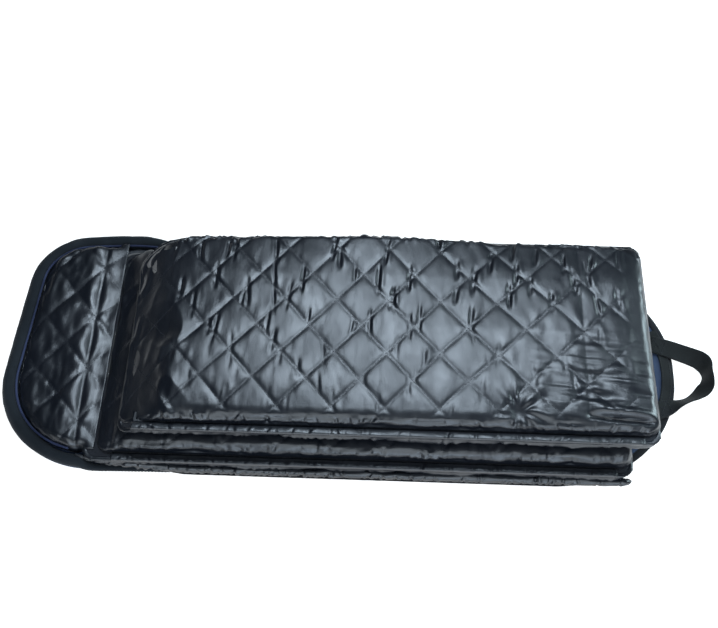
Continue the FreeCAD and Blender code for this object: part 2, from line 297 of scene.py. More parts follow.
def add_cloth(obj):
    """Cloth that is held at its seams and blown up a little between them, with no gravity."""
    cloth = obj.modifiers.new("cloth", "CLOTH")
    settings = cloth.settings
    settings.vertex_group_mass = "seams"
    settings.pin_stiffness = 1.0
    settings.quality = 5
    settings.mass = 0.02
    settings.tension_stiffness = settings.compression_stiffness = 40
    settings.shear_stiffness = 10
    settings.bending_stiffness = 2.0
    settings.tension_damping = settings.compression_damping = settings.shear_damping = 5
    settings.bending_damping = 0.5
    settings.use_pressure = True
    settings.uniform_pressure_force = 7
    settings.effector_weights.gravity = 0
    cloth.collision_settings.use_collision = False
    return cloth


def cloth_relief(basis, gathered, pinned):
    """Simulates a grid of cloth that is cut larger (basis) and gathered to its seams (gathered).
    Returns the settled grid."""
    rows, columns = gathered.shape[:2]
    mesh = bpy.data.meshes.new("cloth_work")
    mesh.from_pydata(basis.reshape(-1, 3).tolist(), [], grid_faces(rows, columns))
    obj = bpy.data.objects.new("cloth_work", mesh)
    bpy.context.scene.collection.objects.link(obj)
    group = obj.vertex_groups.new(name="seams")
    group.add(np.nonzero(pinned.ravel())[0].tolist(), 1.0, "REPLACE")
    obj.shape_key_add(name="Basis")
    key = obj.shape_key_add(name="gathered")
    key.data.foreach_set("co", gathered.reshape(-1).astype(np.float32))
    key.value = 0.0
    key.keyframe_insert("value", frame=1)
    key.value = 1.0
    key.keyframe_insert("value", frame=SIM_FRAMES // 2)
    cloth = add_cloth(obj)
    scene = bpy.context.scene
    scene.frame_start, scene.frame_end = 1, SIM_FRAMES
    cloth.point_cache.frame_start, cloth.point_cache.frame_end = 1, SIM_FRAMES
    for frame_number in range(1, SIM_FRAMES + 1):
        scene.frame_set(frame_number)
    settled = obj.evaluated_get(bpy.context.evaluated_depsgraph_get())
    result = np.zeros(rows * columns * 3, np.float32)
    settled.data.vertices.foreach_get("co", result)
    scene.frame_set(1)
    bpy.data.objects.remove(obj)
    bpy.data.meshes.remove(mesh)
    return result.reshape(rows, columns, 3).astype(float)


def quilt_relief(columns, rows):
    """How stitched satin stands off its flat sheet: (rows, columns, 3) offsets in millimetres, with
    SIM_STEPS points to a diamond.  The seams are gathered, so that puckers run across the sheet."""
    i, j = np.meshgrid(np.arange(columns * SIM_STEPS + 1), np.arange(rows * SIM_STEPS + 1))
    seam = ((i + j) % SIM_STEPS == 0) | ((i - j) % SIM_STEPS == 0)
    edge = (i == 0) | (j == 0) | (i == i.max()) | (j == j.max())
    flat = np.zeros(i.shape + (3,))
    flat[..., 0] = i * LATTICE_X / SIM_STEPS * SIM_SCALE
    flat[..., 1] = j * LATTICE_Y / SIM_STEPS * SIM_SCALE
    lift = (smooth_noise(i / 3.1, j / 4.3, 11) + 1.2) * 1.4 * SIM_SCALE
    flat[..., 2] = np.where(seam | edge, 0, lift)
    cut = flat.copy()
    cut[..., 0] *= SLACK_X
    cut[..., 1] *= SLACK_Y
    settled = cloth_relief(cut, flat, seam | edge)
    offsets = (settled - flat) / SIM_SCALE
    offsets[..., 2] += flat[..., 2] / SIM_SCALE
    return offsets


def without_dome(relief):
    """Relief less its average diamond: what is left is the puckers and wrinkles."""
    rows, columns = relief.shape[0] // SIM_STEPS, relief.shape[1] // SIM_STEPS
    cells = relief[:rows * SIM_STEPS, :columns * SIM_STEPS]
    cells = cells.reshape(rows, SIM_STEPS, columns, SIM_STEPS, 3)
    dome = cells.mean((0, 2))
    tiled = np.tile(dome, (rows + 1, columns + 1, 1))
    left = relief - tiled[:relief.shape[0], :relief.shape[1]]
    for _ in range(2):
        inner = left[1:-1, 1:-1]
        inner += 0.18 * (left[2:, 1:-1] + left[:-2, 1:-1] + left[1:-1, 2:] + left[1:-1, :-2] - 4 * inner)
    return left


RELIEF = without_dome(quilt_relief(11, 5))
SEAM_GAP = 1 / math.hypot(1 / LATTICE_X, 1 / LATTICE_Y)     # distance between neighbouring seams


def seam_distances(a, b):
    """Distances in millimetres from lattice places to the nearest seam of each direction."""
    first = np.abs((a + b) - np.round(a + b)) * SEAM_GAP
    second = np.abs((a - b) - np.round(a - b)) * SEAM_GAP
    return first, second


def puff(a, b, height, width=3.4):
    """Flat-topped filling between seams: steep beside the stitches and level inside the diamond."""
    first, second = seam_distances(a, b)
    return height * (1 - np.exp(-first / width)) * (1 - np.exp(-second / width))


def wrinkles_at(a, b):
    """Simulated wrinkles at lattice places, repeated beyond the simulated sheet."""
    rows, columns = RELIEF.shape[0] - 1, RELIEF.shape[1] - 1
    across = np.abs((a * SIM_STEPS + 3 * columns) % (2 * columns) - columns)
    along = np.abs((b * SIM_STEPS + 3 * rows) % (2 * rows) - rows)
    return sample_grid(RELIEF, along, across)


def groove(across, along, width, length, depth):
    """Narrow pucker: steep on one side, with a soft lip on the other."""
    ends = np.exp(-(np.abs(along) / (length / 2)) ** 4)
    valley = np.exp(-(across / width) ** 2)
    lip = np.exp(-((across - 2.6 * width) / (1.7 * width)) ** 2)
    return depth * ends * (0.45 * lip - valley)


def puckers(a, b, seed, rate, depth):
    """Sparse deep puckers across the sheet, most of them inside one diamond and some across a seam."""
    dice = np.random.RandomState(seed)
    total = np.zeros(a.shape)
    for row in range(math.floor(b.min() * 2), math.ceil(b.max() * 2) + 1):
        for column in range(math.floor(a.min()), math.ceil(a.max()) + 1):
            for _ in range(2):
                centre_a = column + 0.5 * (row % 2) + dice.uniform(-0.30, 0.30)
                centre_b = row / 2 + dice.uniform(-0.16, 0.16)
                size = dice.uniform(0.5, 1.0) * (dice.uniform() < rate)
                length, width, slant = dice.uniform(24, 46), dice.uniform(1.5, 2.5), dice.uniform(-0.12, 0.12)
                if size == 0:
                    continue
                near = (np.abs(a - centre_a) < 0.25) & (np.abs(b - centre_b) < 0.55)
                if not near.any():
                    continue
                run = (b[near] - centre_b) * LATTICE_Y
                off = (a[near] - centre_a) * LATTICE_X - slant * run
                total[near] += groove(off, run, width, length, size * depth)
    return total


def ticks(x, s, seed, low, high, count, depth, from_s, to_s):
    """Short sharp creases across a rounded edge, spread at random from low to high."""
    dice = np.random.RandomState(seed)
    total = np.zeros(x.shape)
    for _ in range(count):
        centre, lean = dice.uniform(low, high), dice.uniform(-0.5, 0.7)
        width, size = dice.uniform(0.9, 2.0), dice.uniform(0.4, 1.0)
        middle, half = dice.uniform(from_s, to_s), dice.uniform(4, 9)
        near = np.abs(x - centre) < 14
        off = x[near] - centre - lean * (s[near] - middle)
        total[near] += groove(off, s[near] - middle, width, 2 * half, size * depth)
    return total


def crumple(x, y, seed, size):
    """Irregular crossing folds of slack satin, as ridges and valleys between about -1 and 1."""
    bend_x = x / size + 0.9 * smooth_noise(x / (3 * size), y / (3 * size), seed, 1)
    bend_y = y / (1.9 * size) + 0.9 * smooth_noise(x / (3 * size) + 9, y / (3 * size) + 5, seed + 1, 1)
    wave = smooth_noise(bend_x, bend_y, seed + 2, 1)
    sharp = smooth_noise(bend_x * 2.1 + 4, bend_y * 1.7 + 2, seed + 3, 1)
    return 0.9 - 2.2 * np.abs(wave) + 0.5 - 1.0 * np.abs(sharp)


# ---------------------------------------------------------------- quilted pads of the panels
ROW_ZERO = -115.0          # a row and a column of the top panel's crossings
COLUMN_ZERO = -125.0
WIDE_FROM, WIDE_PITCH = 120.0, 74.0    # the diamonds are wider towards the right end
GRID_STEPS = {1: 28, 2: 28, 3: 28, 4: 38}
WRAP_SIDE = PAD_ROUND * math.pi / 2
WRAP_FACE = WRAP_SIDE + PAD_THICK - PAD_ROUND
WRAP_ALL = WRAP_FACE + HEM
LATTICE_SHIFT = {1: (1.0, 1.0), 2: (0.5, 0.5), 3: (2.0, 1.0), 4: (5.0, 1.5)}


def lattice_of_x(x):
    """Place along the quilting, in diamonds, from x on the pad."""
    plain = (x - COLUMN_ZERO) / LATTICE_X
    wide = (WIDE_FROM - COLUMN_ZERO) / LATTICE_X + (x - WIDE_FROM) / WIDE_PITCH
    return np.where(x < WIDE_FROM, plain, wide)


def x_of_lattice(a):
    """The other way round: x on the pad from a place along the quilting."""
    turn = (WIDE_FROM - COLUMN_ZERO) / LATTICE_X
    return np.where(a < turn, COLUMN_ZERO + a * LATTICE_X, WIDE_FROM + (a - turn) * WIDE_PITCH)


def lattice_lines(low, high, steps):
    """Places from low to high at whole fractions of a diamond, with both ends."""
    inner = np.arange(math.ceil(low * steps + 0.3), math.floor(high * steps - 0.3) + 1) / steps
    return np.concatenate([[low], inner, [high]])


def squash_corner(u, v, centre, reach):
    """Pulls the square corner beyond centre in to a quarter ellipse; reach is signed."""
    p, q = (u - centre[0]) / reach[0], (v - centre[1]) / reach[1]
    inside = (p > 0) & (q > 0)
    p1, q1 = np.clip(p, 0, 1), np.clip(q, 0, 1)
    pulled_u = centre[0] + reach[0] * p1 * np.sqrt(1 - q1 * q1 / 2)
    pulled_v = centre[1] + reach[1] * q1 * np.sqrt(1 - p1 * p1 / 2)
    return np.where(inside, pulled_u, u), np.where(inside, pulled_v, v)


def flat_zone(x0, x1, y0, y1):
    """Plan of the part of a pad that lies inside its rounded edges."""
    r = PLAN_ROUND - PAD_ROUND
    e = PAD_ROUND
    quarter = np.linspace(0, math.pi / 2, 9)
    points = []
    for (cx, cy), start in (((x1 - e - r, y0 + e + r), -90), ((x1 - e - r, y1 - e - r), 0)):
        for t in quarter:
            angle = math.radians(start) + t
            points.append((cx + r * math.cos(angle), cy + r * math.sin(angle)))
    ax, ay = SWEEP[0] - e, SWEEP[1] - e
    for t in np.linspace(math.pi / 2, math.pi, 33):
        points.append((x0 + e + ax + ax * math.cos(t), y1 - e - ay + ay * math.sin(t)))
    for t in quarter + math.pi:
        points.append((x0 + e + r + r * math.cos(t), y0 + e + r + r * math.sin(t)))
    return np.array(points)


def wrap_over(plan_points, zone):
    """Lays flat cloth over a pad's rounded edge: places in plan, height above the laminate face, and how
    far each point is past the start of the rounding."""
    shape = plan_points.shape[:2]
    flat = plan_points.reshape(-1, 2)
    near = nearest_on(zone, flat)
    away = flat - near
    distance = np.linalg.norm(away, axis=1)
    inside = inside_plan(zone, flat)
    s = np.where(inside, 0, distance)
    out = away / (distance[:, None] + 1e-9)
    angle = np.clip(s / PAD_ROUND, 0, math.pi / 2)
    reach = PAD_ROUND * np.sin(angle)
    height = PAD_THICK - PAD_ROUND * (1 - np.cos(angle))
    height -= np.clip(s - WRAP_SIDE, 0, WRAP_FACE - WRAP_SIDE)
    reach -= np.clip(s - WRAP_FACE, 0, HEM)
    place = np.where(inside[:, None], flat, near + out * reach[:, None])
    return place.reshape(shape + (2,)), height.reshape(shape), s.reshape(shape)


def top_panel_shape(x, y, height):
    """Height of the top panel's cover: crowned, and lower at the back, the front and both ends."""
    middle = np.exp(-((x - 10) / 190) ** 2)
    back_drop = (12.0 - 9.5 * middle) * np.clip((y + 30) / 176, 0, 1) ** 2
    front_drop = 3.0 * np.clip((-y - 60) / 75, 0, 1) ** 2
    end_drops = 3.0 * step(x, 330, 381) ** 2 + 5.2 * step(-x, 130, 255) * step(y, -60, 50)
    swell = 1.5 * smooth_noise(x / 130, y / 90, 21, 2)
    return height - (back_drop + front_drop + end_drops - swell) * np.clip(height / PAD_THICK, 0, 1) ** 1.3


def lean_upper(points):
    """The upper panels lie a little askew: their back right corner is pulled in."""
    x, y = points[..., 0], points[..., 1]
    x -= 6.5 * step(x, 200, 381) * np.clip((y + 135) / 281, 0, 1) ** 0.9


def fill_corner(points, number):
    """The covers' swept corners at the back left are slack and spread a little, the lower two most."""
    x, y = points[..., 0], points[..., 1]
    share = step(-x, 180, 320) * step(y, 55, 150)
    extra = step(-x, 262, 318) * step(y, 70, 150) * (14.0 if number < 3 else 0.0)
    x -= 9.0 * share + 0.4 * extra
    y += 7.0 * share + extra


def ease(points):
    """The cloth at the ends lies slack: the nose's back edge and the tail spread a little."""
    x, y = points[..., 0], points[..., 1]
    y += 7.0 * np.exp(-((x + 300) / 75) ** 2) * step(y, 60, 160)
    x += 5.0 * step(x, 300, 412)
    return points


def bulge_back(points, height):
    """The top panel's back edge swells past its neighbours in the middle, above its fold side."""
    x, y = points[..., 0], points[..., 1]
    y += 5.0 * np.exp(-((x - 10) / 190) ** 2) * step(y, 60, 146) * step(height, 4, 14)


UPPER_BASE, LOWER_BASE = 44.0, 23.3
LAMINATE_LEVEL = 64.5           # where the upper two panels' laminates face each other


def settle(points, relief=None):
    """The left ends of the panels have no board in them, so they sink under their own weight.  Relief on
    a cover's upper side keeps its depth there."""
    x, z = points[..., 0], points[..., 2]
    above = np.clip((z - LAMINATE_LEVEL) / PAD_THICK, 0, 1)
    sink_upper = 0.76 * (step(-x, 252, 300) * (1 - above) + step(-x, 218, 296) * above)
    sink_lower = 0.78 * step(-x, 280, 322)
    sink = np.where(z > UPPER_BASE, sink_upper, np.where(z > LOWER_BASE, sink_lower, 0))
    ground = np.where(z > UPPER_BASE, UPPER_BASE, LOWER_BASE)
    points[..., 2] = z - (z - ground) * sink
    if relief is not None:
        points[..., 2] += 0.8 * sink * np.maximum(relief, -1.2)
        points[..., 0] -= 0.35 * sink * relief


def waver(points, height):
    """The front edges are soft, so the covers run a little unevenly along them, away from the folds."""
    x, y, z = points[..., 0], points[..., 1], points[..., 2]
    share = step(-y, 122, 150) * step(height, 3, 12) * np.clip(z / 25, 0, 1)
    rise = 1.7 * share * smooth_noise(x / 50, z / 50, 311, 2)
    y += 1.1 * share * smooth_noise(x / 40, z / 30, 321, 2)
    z += rise


def top_panel_creases(x, y):
    """Folds of the top panel: wrinkles that fan out from a knot near the front and run to the right
    end, a slit above the front edge there, and slack folds at the soft left end."""
    kx, ky = 206.0, -116.0
    dx, dy = x - kx, y - ky
    radius = np.hypot(dx, dy)
    angle = np.arctan2(dy, dx)
    fan = np.sin(angle * 9 + 2.5 * smooth_noise(radius / 40, angle * 2, 31, 1))
    fan *= np.exp(-radius / 45) * step(radius, 5, 20) * step(dx, -40, 10)
    pit = -4.0 * np.exp(-(radius / 12) ** 2)
    run = smooth_noise(x / 75, y / 10 + 0.10 * x / 10, 33, 2)
    run *= step(x, 205, 280) * (1 - step(y, -45, 15)) * (1 - step(x, 360, 381))
    slit_y = -119.0 - 0.06 * (x - 330)
    along = step(x, 284, 315) * (1 - step(x, 360, 380))
    slit = -7.0 * np.exp(-((y - slit_y) / 3.6) ** 2) * along
    lip = 3.2 * np.exp(-((y - slit_y - 10) / 6.0) ** 2) * along
    slack = 2.4 * crumple(x, y, 71, 30) * step(-x, 185, 250)
    return 1.7 * fan + pit + 1.5 * run + slit + lip + slack


def edge_wrinkles(number, x, y, s):
    """Crumpled satin on the rounded edges of a panel."""
    ends = step(np.minimum(x - x.min(), x.max() - x), 8, 30)
    roll = smooth_noise(x / 46, (s + 9 * number) / 8.0, 40 + number, 2)
    fine = crumple(x, s * 2.2, 45 + number, 21)
    end_folds = smooth_noise(y / 16 + 20, s / 9 + number, 60 + number, 2)
    amount = step(s, 2, 12) * (1 - step(s, WRAP_FACE - 5, WRAP_FACE))
    ridge = (2.0 if CELLS_UP[number] else 0.8) * np.exp(-((s - 18) / 5.0) ** 2) * step(-y, 60, 120)
    slack = 0.5 if number == TOP_PANEL else 1.4
    shape = ends * (1.5 * roll + 0.75 * fine + ridge) + slack * end_folds * (1 - ends)
    shape += ends * ticks(x, s, 80 + number, x.min(), x.max(), 58, 2.0, 6, 24)
    return amount * shape


def quilt_grid(number):
    """Lattice lines of a cover's grid, and where the grid lies on the pad: places in plan, height above
    the laminate face, and how far each point is past the start of the rounding."""
    low, high = cad_box(f"quilt_cover_{number}")
    x0, x1, y0, y1 = low[0], high[0], low[1], high[1]
    beyond = WRAP_ALL - PAD_ROUND
    a_low, a_high = lattice_of_x(np.array([x0 - beyond, x1 + beyond]))
    b_low, b_high = ((np.array([y0, y1]) + (-beyond, beyond)) - ROW_ZERO) / LATTICE_Y
    a = lattice_lines(a_low, a_high, GRID_STEPS[number])
    b = lattice_lines(b_low, b_high, GRID_STEPS[number])
    a_grid, b_grid = np.meshgrid(a, b)
    u, v = x_of_lattice(a_grid), ROW_ZERO + b_grid * LATTICE_Y
    r, far = PLAN_ROUND, PLAN_ROUND + beyond
    sx, sy = SWEEP
    u, v = squash_corner(u, v, (x1 - r, y0 + r), (far, -far))
    u, v = squash_corner(u, v, (x1 - r, y1 - r), (far, far))
    u, v = squash_corner(u, v, (x0 + r, y0 + r), (-far, -far))
    u, v = squash_corner(u, v, (x0 + sx, y1 - sy), (-sx - beyond, sy + beyond))
    return (a, b) + wrap_over(np.stack([u, v], -1), flat_zone(x0, x1, y0, y1))


def cover_relief(number, x, y, s, a, b):
    """How far the satin of a cover is moved along its surface and, as the third value, off it; a and b are
    its places in the quilting."""
    top = number == TOP_PANEL
    side = 1 - step(s, WRAP_SIDE, WRAP_FACE)
    band = step(y, -128, -117) * (1 - step(x, 340, 362)) if top else 1.0
    strength = side * (1 - 0.35 * step(s, 6, 18)) * (0.12 + 0.88 * band)
    relief = wrinkles_at(a, b) * strength[..., None] * 0.24
    lift = relief[..., 2] + strength * puff(a, b, 1.25)
    depth = 0.35 + 0.80 * step(y, -60, 70) if top else 0.8
    from_seam = np.minimum(*seam_distances(a, b))
    lift += puckers(a, b, 90 + number, 0.72, 2.6) * depth * strength * step(from_seam, 0, 5)
    lift -= 2.4 if top else 3.4
    if number == 2:
        lift += 2.2 * crumple(x, y, 75, 24) * step(-x, 272, 300)
    lift += edge_wrinkles(number, x, y, s)
    if top:
        lift += top_panel_creases(x, y) * (1 - step(s, 16, 27))
    relief[..., 2] = lift * (1 - step(s, WRAP_FACE - 4, WRAP_FACE))
    return relief


def panel_surface(number):
    """Grid of points of one quilted cover above its laminate face, the lattice places of its lines, and
    the relief of its upper side, if the quilting is on that side."""
    a, b, place, height, s = quilt_grid(number)
    x, y = place[..., 0], place[..., 1]
    if number == TOP_PANEL:
        height = top_panel_shape(x, y, height)
    base = np.stack([x, y, height], -1)
    along, across, normal = surface_axes(base)
    shift_a, shift_b = LATTICE_SHIFT[number]
    relief = cover_relief(number, x, y, s, *np.meshgrid(a + shift_a, b + shift_b))
    lift = relief[..., 2]
    points = base + along * relief[..., :1] + across * relief[..., 1:2] + normal * lift[..., None]
    if number != TOP_PANEL:
        points[..., 2] = np.minimum(points[..., 2], PAD_THICK - 0.05)
    points[..., 2] = np.maximum(points[..., 2], 0.02)
    kept = np.clip(lift, -3, 3) * (1 - step(s, 8, 20))
    return points, a, b, None if CELLS_UP[number] else kept


def placed(points, number, relief=None):
    """From height above the laminate face to the panel's place in the stack."""
    low, high = cad_box(f"quilt_cover_{number}")
    out = points.copy()
    out[..., 2] = high[2] - points[..., 2] if CELLS_UP[number] else low[2] + points[..., 2]
    if number == TOP_PANEL:
        bulge_back(out, points[..., 2])
    if number > 2:
        lean_upper(out)
    fill_corner(out, number)
    settle(out, relief)
    waver(out, points[..., 2])
    return out


def make_quilt(number):
    """Closed quilted cover of one panel."""
    points, a, b, relief = panel_surface(number)
    rows, columns = points.shape[:2]
    loop = border_loop(rows, columns)
    rim = points.reshape(-1, 3)[loop]
    inner = rim.copy()
    middle = rim.mean(0)
    inner[:, :2] += unit(middle[:2] - rim[:, :2]) * 0.6
    inner[:, 2] = CAP_DEPTH
    total = rows * columns
    faces = grid_faces(rows, columns)
    faces += ring_wall(loop, range(total, total + len(loop)))
    faces += ladder_cap(rows, columns, total)
    outer = placed(points, number, relief)
    everything = np.concatenate([outer.reshape(-1, 3), placed(inner, number)])
    obj = mesh_object(f"quilted_cover_{number}", everything, faces)
    finish_piece(obj, SATIN, BODY_OF[number])
    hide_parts(f"quilt_cover_{number}", f"wadding_{number}")
    make_quilt_thread(number, outer, a, b)


def lattice_tracks(a, b, shift, points):
    """Tracks of the quilting's seams over a grid of points, in both directions."""
    tracks = []
    for sign in (1, -1):
        sums = [a[0] + sign * b[0], a[0] + sign * b[-1], a[-1] + sign * b[0], a[-1] + sign * b[-1]]
        offset = shift[0] + sign * shift[1]
        for k in range(math.floor(min(sums) + offset), math.ceil(max(sums) + offset) + 1):
            line_b = np.linspace(b[0], b[-1], 900)
            line_a = (k - offset) - sign * line_b
            good = (line_a > a[0]) & (line_a < a[-1])
            if good.sum() > 12:
                column = np.interp(line_a[good], a, np.arange(len(a)))
                row = np.interp(line_b[good], b, np.arange(len(b)))
                tracks.append(sample_grid(points, row, column))
    return tracks


def make_quilt_thread(number, points, a, b):
    """Stitches in the quilting's seams: short threads that follow the cover."""
    low, high = cad_box(f"quilt_cover_{number}")
    top, margin = number == TOP_PANEL, 8.0
    stitch, gap = (4.0, 1.0) if top else (5.5, 1.5)
    right, front = (44.0, 17.0) if top else (margin, margin)
    kept = []
    for track in lattice_tracks(a, b, LATTICE_SHIFT[number], points):
        x, y = track[:, 0], track[:, 1]
        keep = (x > low[0] + margin) & (x < high[0] - right) & (y > low[1] + front) & (y < high[1] - margin)
        if keep.sum() > 12:
            kept.append(track[keep])
    sew(f"quilt_thread_{number}", kept, stitch, gap, 0.38, BODY_OF[number])


def add_stitch(points, faces, stations, radius):
    """Adds one short six-sided thread through three places."""
    direction = unit(stations[2] - stations[0])
    side = unit(np.cross(direction, (0.1, 0.2, 1.0)))
    up = np.cross(side, direction)
    first = len(points)
    for centre, size in zip(stations, (0.45, 1.0, 0.45)):
        for k in range(6):
            turn = math.pi * k / 3
            points.append(centre + radius * size * (side * math.cos(turn) + up * math.sin(turn)))
    for ring in (first, first + 6):
        faces.extend(ring_wall(range(ring, ring + 6), range(ring + 6, ring + 12)))
    faces.append(tuple(range(first, first + 6)))
    faces.append(tuple(range(first + 12, first + 18)))


def sew(name, tracks, stitch, gap, radius, body=None):
    """Piece of short stitches in a row along each track."""
    points, faces = [], []
    for track in tracks:
        run = run_along(track)
        if run[-1] < stitch:
            continue
        for start in np.arange(0, run[-1] - stitch, stitch + gap):
            places = start + stitch * np.array([0.0, 0.5, 1.0])
            stations = np.stack([np.interp(places, run, track[:, k]) for k in range(3)], 1)
            add_stitch(points, faces, stations, radius)
    thread = mesh_object(name, points, faces)
    finish_piece(thread, THREAD, body)
    return thread


# ---------------------------------------------------------------- materials
def set_inputs(node, **values):
    """Sets a node's inputs; an underscore in a name stands for a space."""
    for name, value in values.items():
        node.inputs[name.replace("_", " ")].default_value = value


def node_material(name):
    """New material with its nodes, links and main shader."""
    material = bpy.data.materials.new(name)
    material.use_nodes = True
    shader = material.node_tree.nodes["Principled BSDF"]
    return material, material.node_tree.nodes, material.node_tree.links, shader


def noise_node(nodes, links, scale, stretch=(1, 1, 1), detail=4.0):
    """Noise in the frame's own metres, with scale in waves per metre along each axis."""
    place = nodes.new("ShaderNodeTexCoord")
    mapping = nodes.new("ShaderNodeMapping")
    texture = nodes.new("ShaderNodeTexNoise")
    set_inputs(mapping, Scale=stretch)
    set_inputs(texture, Scale=scale, Detail=detail)
    links.new(place.outputs["Object"], mapping.inputs["Vector"])
    links.new(mapping.outputs["Vector"], texture.inputs["Vector"])
    return texture


def ramp_node(nodes, links, source, low, high, start=0.35, end=0.65):
    """Colour ramp between two colours."""
    ramp = nodes.new("ShaderNodeValToRGB")
    for element, position, colour in zip(ramp.color_ramp.elements, (start, end), (low, high)):
        element.position = position
        element.color = (*colour, 1)
    links.new(source, ramp.inputs["Fac"])
    return ramp


def vary(nodes, links, shader, slot, texture, low, high):
    """Makes an input of the shader follow a noise texture, between two colours."""
    ramp = ramp_node(nodes, links, texture.outputs["Fac"], low, high)
    links.new(ramp.outputs["Color"], shader.inputs[slot])


def add_bump(nodes, links, shader, textures):
    """Chain of bumps from (texture output, strength, depth in metres)."""
    before = None
    for source, strength, depth in textures:
        bump = nodes.new("ShaderNodeBump")
        set_inputs(bump, Strength=strength, Distance=depth)
        links.new(source, bump.inputs["Height"])
        if before is not None:
            links.new(before.outputs["Normal"], bump.inputs["Normal"])
        before = bump
    links.new(before.outputs["Normal"], shader.inputs["Normal"])


def grey(value):
    return (value, value, value)


def satin_material():
    """Dark shiny lining satin: gloss that varies in patches, slubs, weave and a fine crinkle."""
    material, nodes, links, shader = node_material("quilted_satin")
    broad = noise_node(nodes, links, 7.0, detail=3.0)
    vary(nodes, links, shader, "Base Color", broad, (0.003, 0.005, 0.009), (0.007, 0.009, 0.014))
    patch = noise_node(nodes, links, 38.0, (1.0, 0.5, 1.0))
    vary(nodes, links, shader, "Roughness", patch, grey(0.30), grey(0.40))
    set_inputs(shader, Specular_IOR_Level=0.85, Sheen_Weight=0.02, Sheen_Roughness=0.35)
    slub = noise_node(nodes, links, 420.0, (0.35, 2.2, 1.0), 3.0)
    weave = noise_node(nodes, links, 1900.0, (2.0, 0.6, 1.0), 2.0)
    crinkle = noise_node(nodes, links, 75.0, (1.5, 0.55, 1.0), 5.0)
    add_bump(nodes, links, shader, [
        (crinkle.outputs["Fac"], 0.35, 0.0009),
        (slub.outputs["Fac"], 0.16, 0.0003),
        (weave.outputs["Fac"], 0.20, 0.00012),
    ])
    return material


def cloth_material(name, low, high, scale=900.0, rough=0.9, depth=0.0003, sheen=0.06):
    """Matte cloth with a soft nap, a weave and slight unevenness in colour."""
    material, nodes, links, shader = node_material(name)
    broad = noise_node(nodes, links, 22.0, detail=6.0)
    vary(nodes, links, shader, "Base Color", broad, low, high)
    set_inputs(shader, Roughness=rough, Specular_IOR_Level=0.25, Sheen_Weight=sheen, Sheen_Roughness=0.5)
    nap = noise_node(nodes, links, scale, (1.0, 1.6, 1.0), 4.0)
    lumps = noise_node(nodes, links, 110.0, detail=3.0)
    add_bump(nodes, links, shader, [
        (lumps.outputs["Fac"], 0.3, 0.0012),
        (nap.outputs["Fac"], 0.5, depth),
    ])
    return material


def plastic_material(name, low, high, rough, scale=260.0, bump=0.00012, metallic=0.0):
    """Moulded, rolled or plated surface with fine unevenness in colour and gloss."""
    material, nodes, links, shader = node_material(name)
    fine = noise_node(nodes, links, scale, detail=4.0)
    vary(nodes, links, shader, "Base Color", fine, low, high)
    vary(nodes, links, shader, "Roughness", fine, grey(rough * 0.85), grey(rough * 1.15))
    set_inputs(shader, Metallic=metallic)
    add_bump(nodes, links, shader, [(fine.outputs["Fac"], 0.3, bump)])
    return material


def cell_material():
    """Coated silicon: deep blue black, with fine grid fingers across each cell."""
    material, nodes, links, shader = node_material("solar_cell")
    place = nodes.new("ShaderNodeTexCoord")
    fingers = nodes.new("ShaderNodeTexWave")
    fingers.wave_type = "BANDS"
    fingers.bands_direction = "X"
    set_inputs(fingers, Scale=180.0)
    links.new(place.outputs["Object"], fingers.inputs["Vector"])
    silicon, silver = (0.004, 0.007, 0.020), (0.030, 0.036, 0.055)
    lines = ramp_node(nodes, links, fingers.outputs["Fac"], silicon, silver, 0.9, 0.99)
    cloud = noise_node(nodes, links, 30.0)
    tone = ramp_node(nodes, links, cloud.outputs["Fac"], grey(0.85), grey(1.0))
    mix = nodes.new("ShaderNodeMix")
    mix.data_type = "RGBA"
    mix.blend_type = "MULTIPLY"
    set_inputs(mix, Factor=1.0)
    links.new(lines.outputs["Color"], mix.inputs["A"])
    links.new(tone.outputs["Color"], mix.inputs["B"])
    links.new(mix.outputs["Result"], shader.inputs["Base Color"])
    set_inputs(shader, Roughness=0.28, Coat_Weight=0.4)
    return material


def film_material():
    """Clear embossed front film."""
    material, nodes, links, shader = node_material("front_film")
    dimples = nodes.new("ShaderNodeTexVoronoi")
    set_inputs(dimples, Scale=420.0)
    place = nodes.new("ShaderNodeTexCoord")
    links.new(place.outputs["Object"], dimples.inputs["Vector"])
    set_inputs(shader, Base_Color=(0.010, 0.012, 0.016, 1), Roughness=0.20, Alpha=0.14)
    add_bump(nodes, links, shader, [(dimples.outputs["Distance"], 0.4, 0.00025)])
    return material


SATIN = satin_material()
BASE_CLOTH = cloth_material("matte_base_cloth", (0.034, 0.052, 0.100), (0.056, 0.080, 0.140), sheen=0.05)
RIM_CLOTH = cloth_material("matte_rim_cloth", (0.007, 0.010, 0.014), (0.014, 0.018, 0.023), sheen=0.05)
PIPING_CLOTH = cloth_material("navy_piping", (0.012, 0.018, 0.050), (0.034, 0.046, 0.105), rough=0.6)
BINDING_CLOTH = cloth_material("black_binding", (0.006, 0.006, 0.008), (0.012, 0.012, 0.015), 1500.0, 0.75)
FACE_CLOTH = cloth_material("face_cloth", (0.010, 0.011, 0.015), (0.018, 0.020, 0.026), 1600.0, 0.72, 0.0002)
WEBBING = cloth_material("webbing", (0.006, 0.007, 0.007), (0.015, 0.017, 0.017), 1400.0, 0.7, 0.0003, 0.06)
THREAD = cloth_material("thread", (0.012, 0.013, 0.018), (0.030, 0.032, 0.042), 2500.0, 0.55, 0.0001)
CELL = cell_material()
FILM = film_material()
RIBBON = plastic_material("tinned_ribbon", grey(0.45), grey(0.62), 0.35, 900.0, 0.00003, 1.0)
BACKSHEET = plastic_material("backsheet", (0.012, 0.012, 0.015), (0.020, 0.020, 0.024), 0.55)
BOARD = plastic_material("foamed_board", grey(0.22), grey(0.32), 0.8, 400.0, 0.0003)
BLACK_PLASTIC = plastic_material("black_plastic", grey(0.012), grey(0.024), 0.5, 700.0, 0.0001)
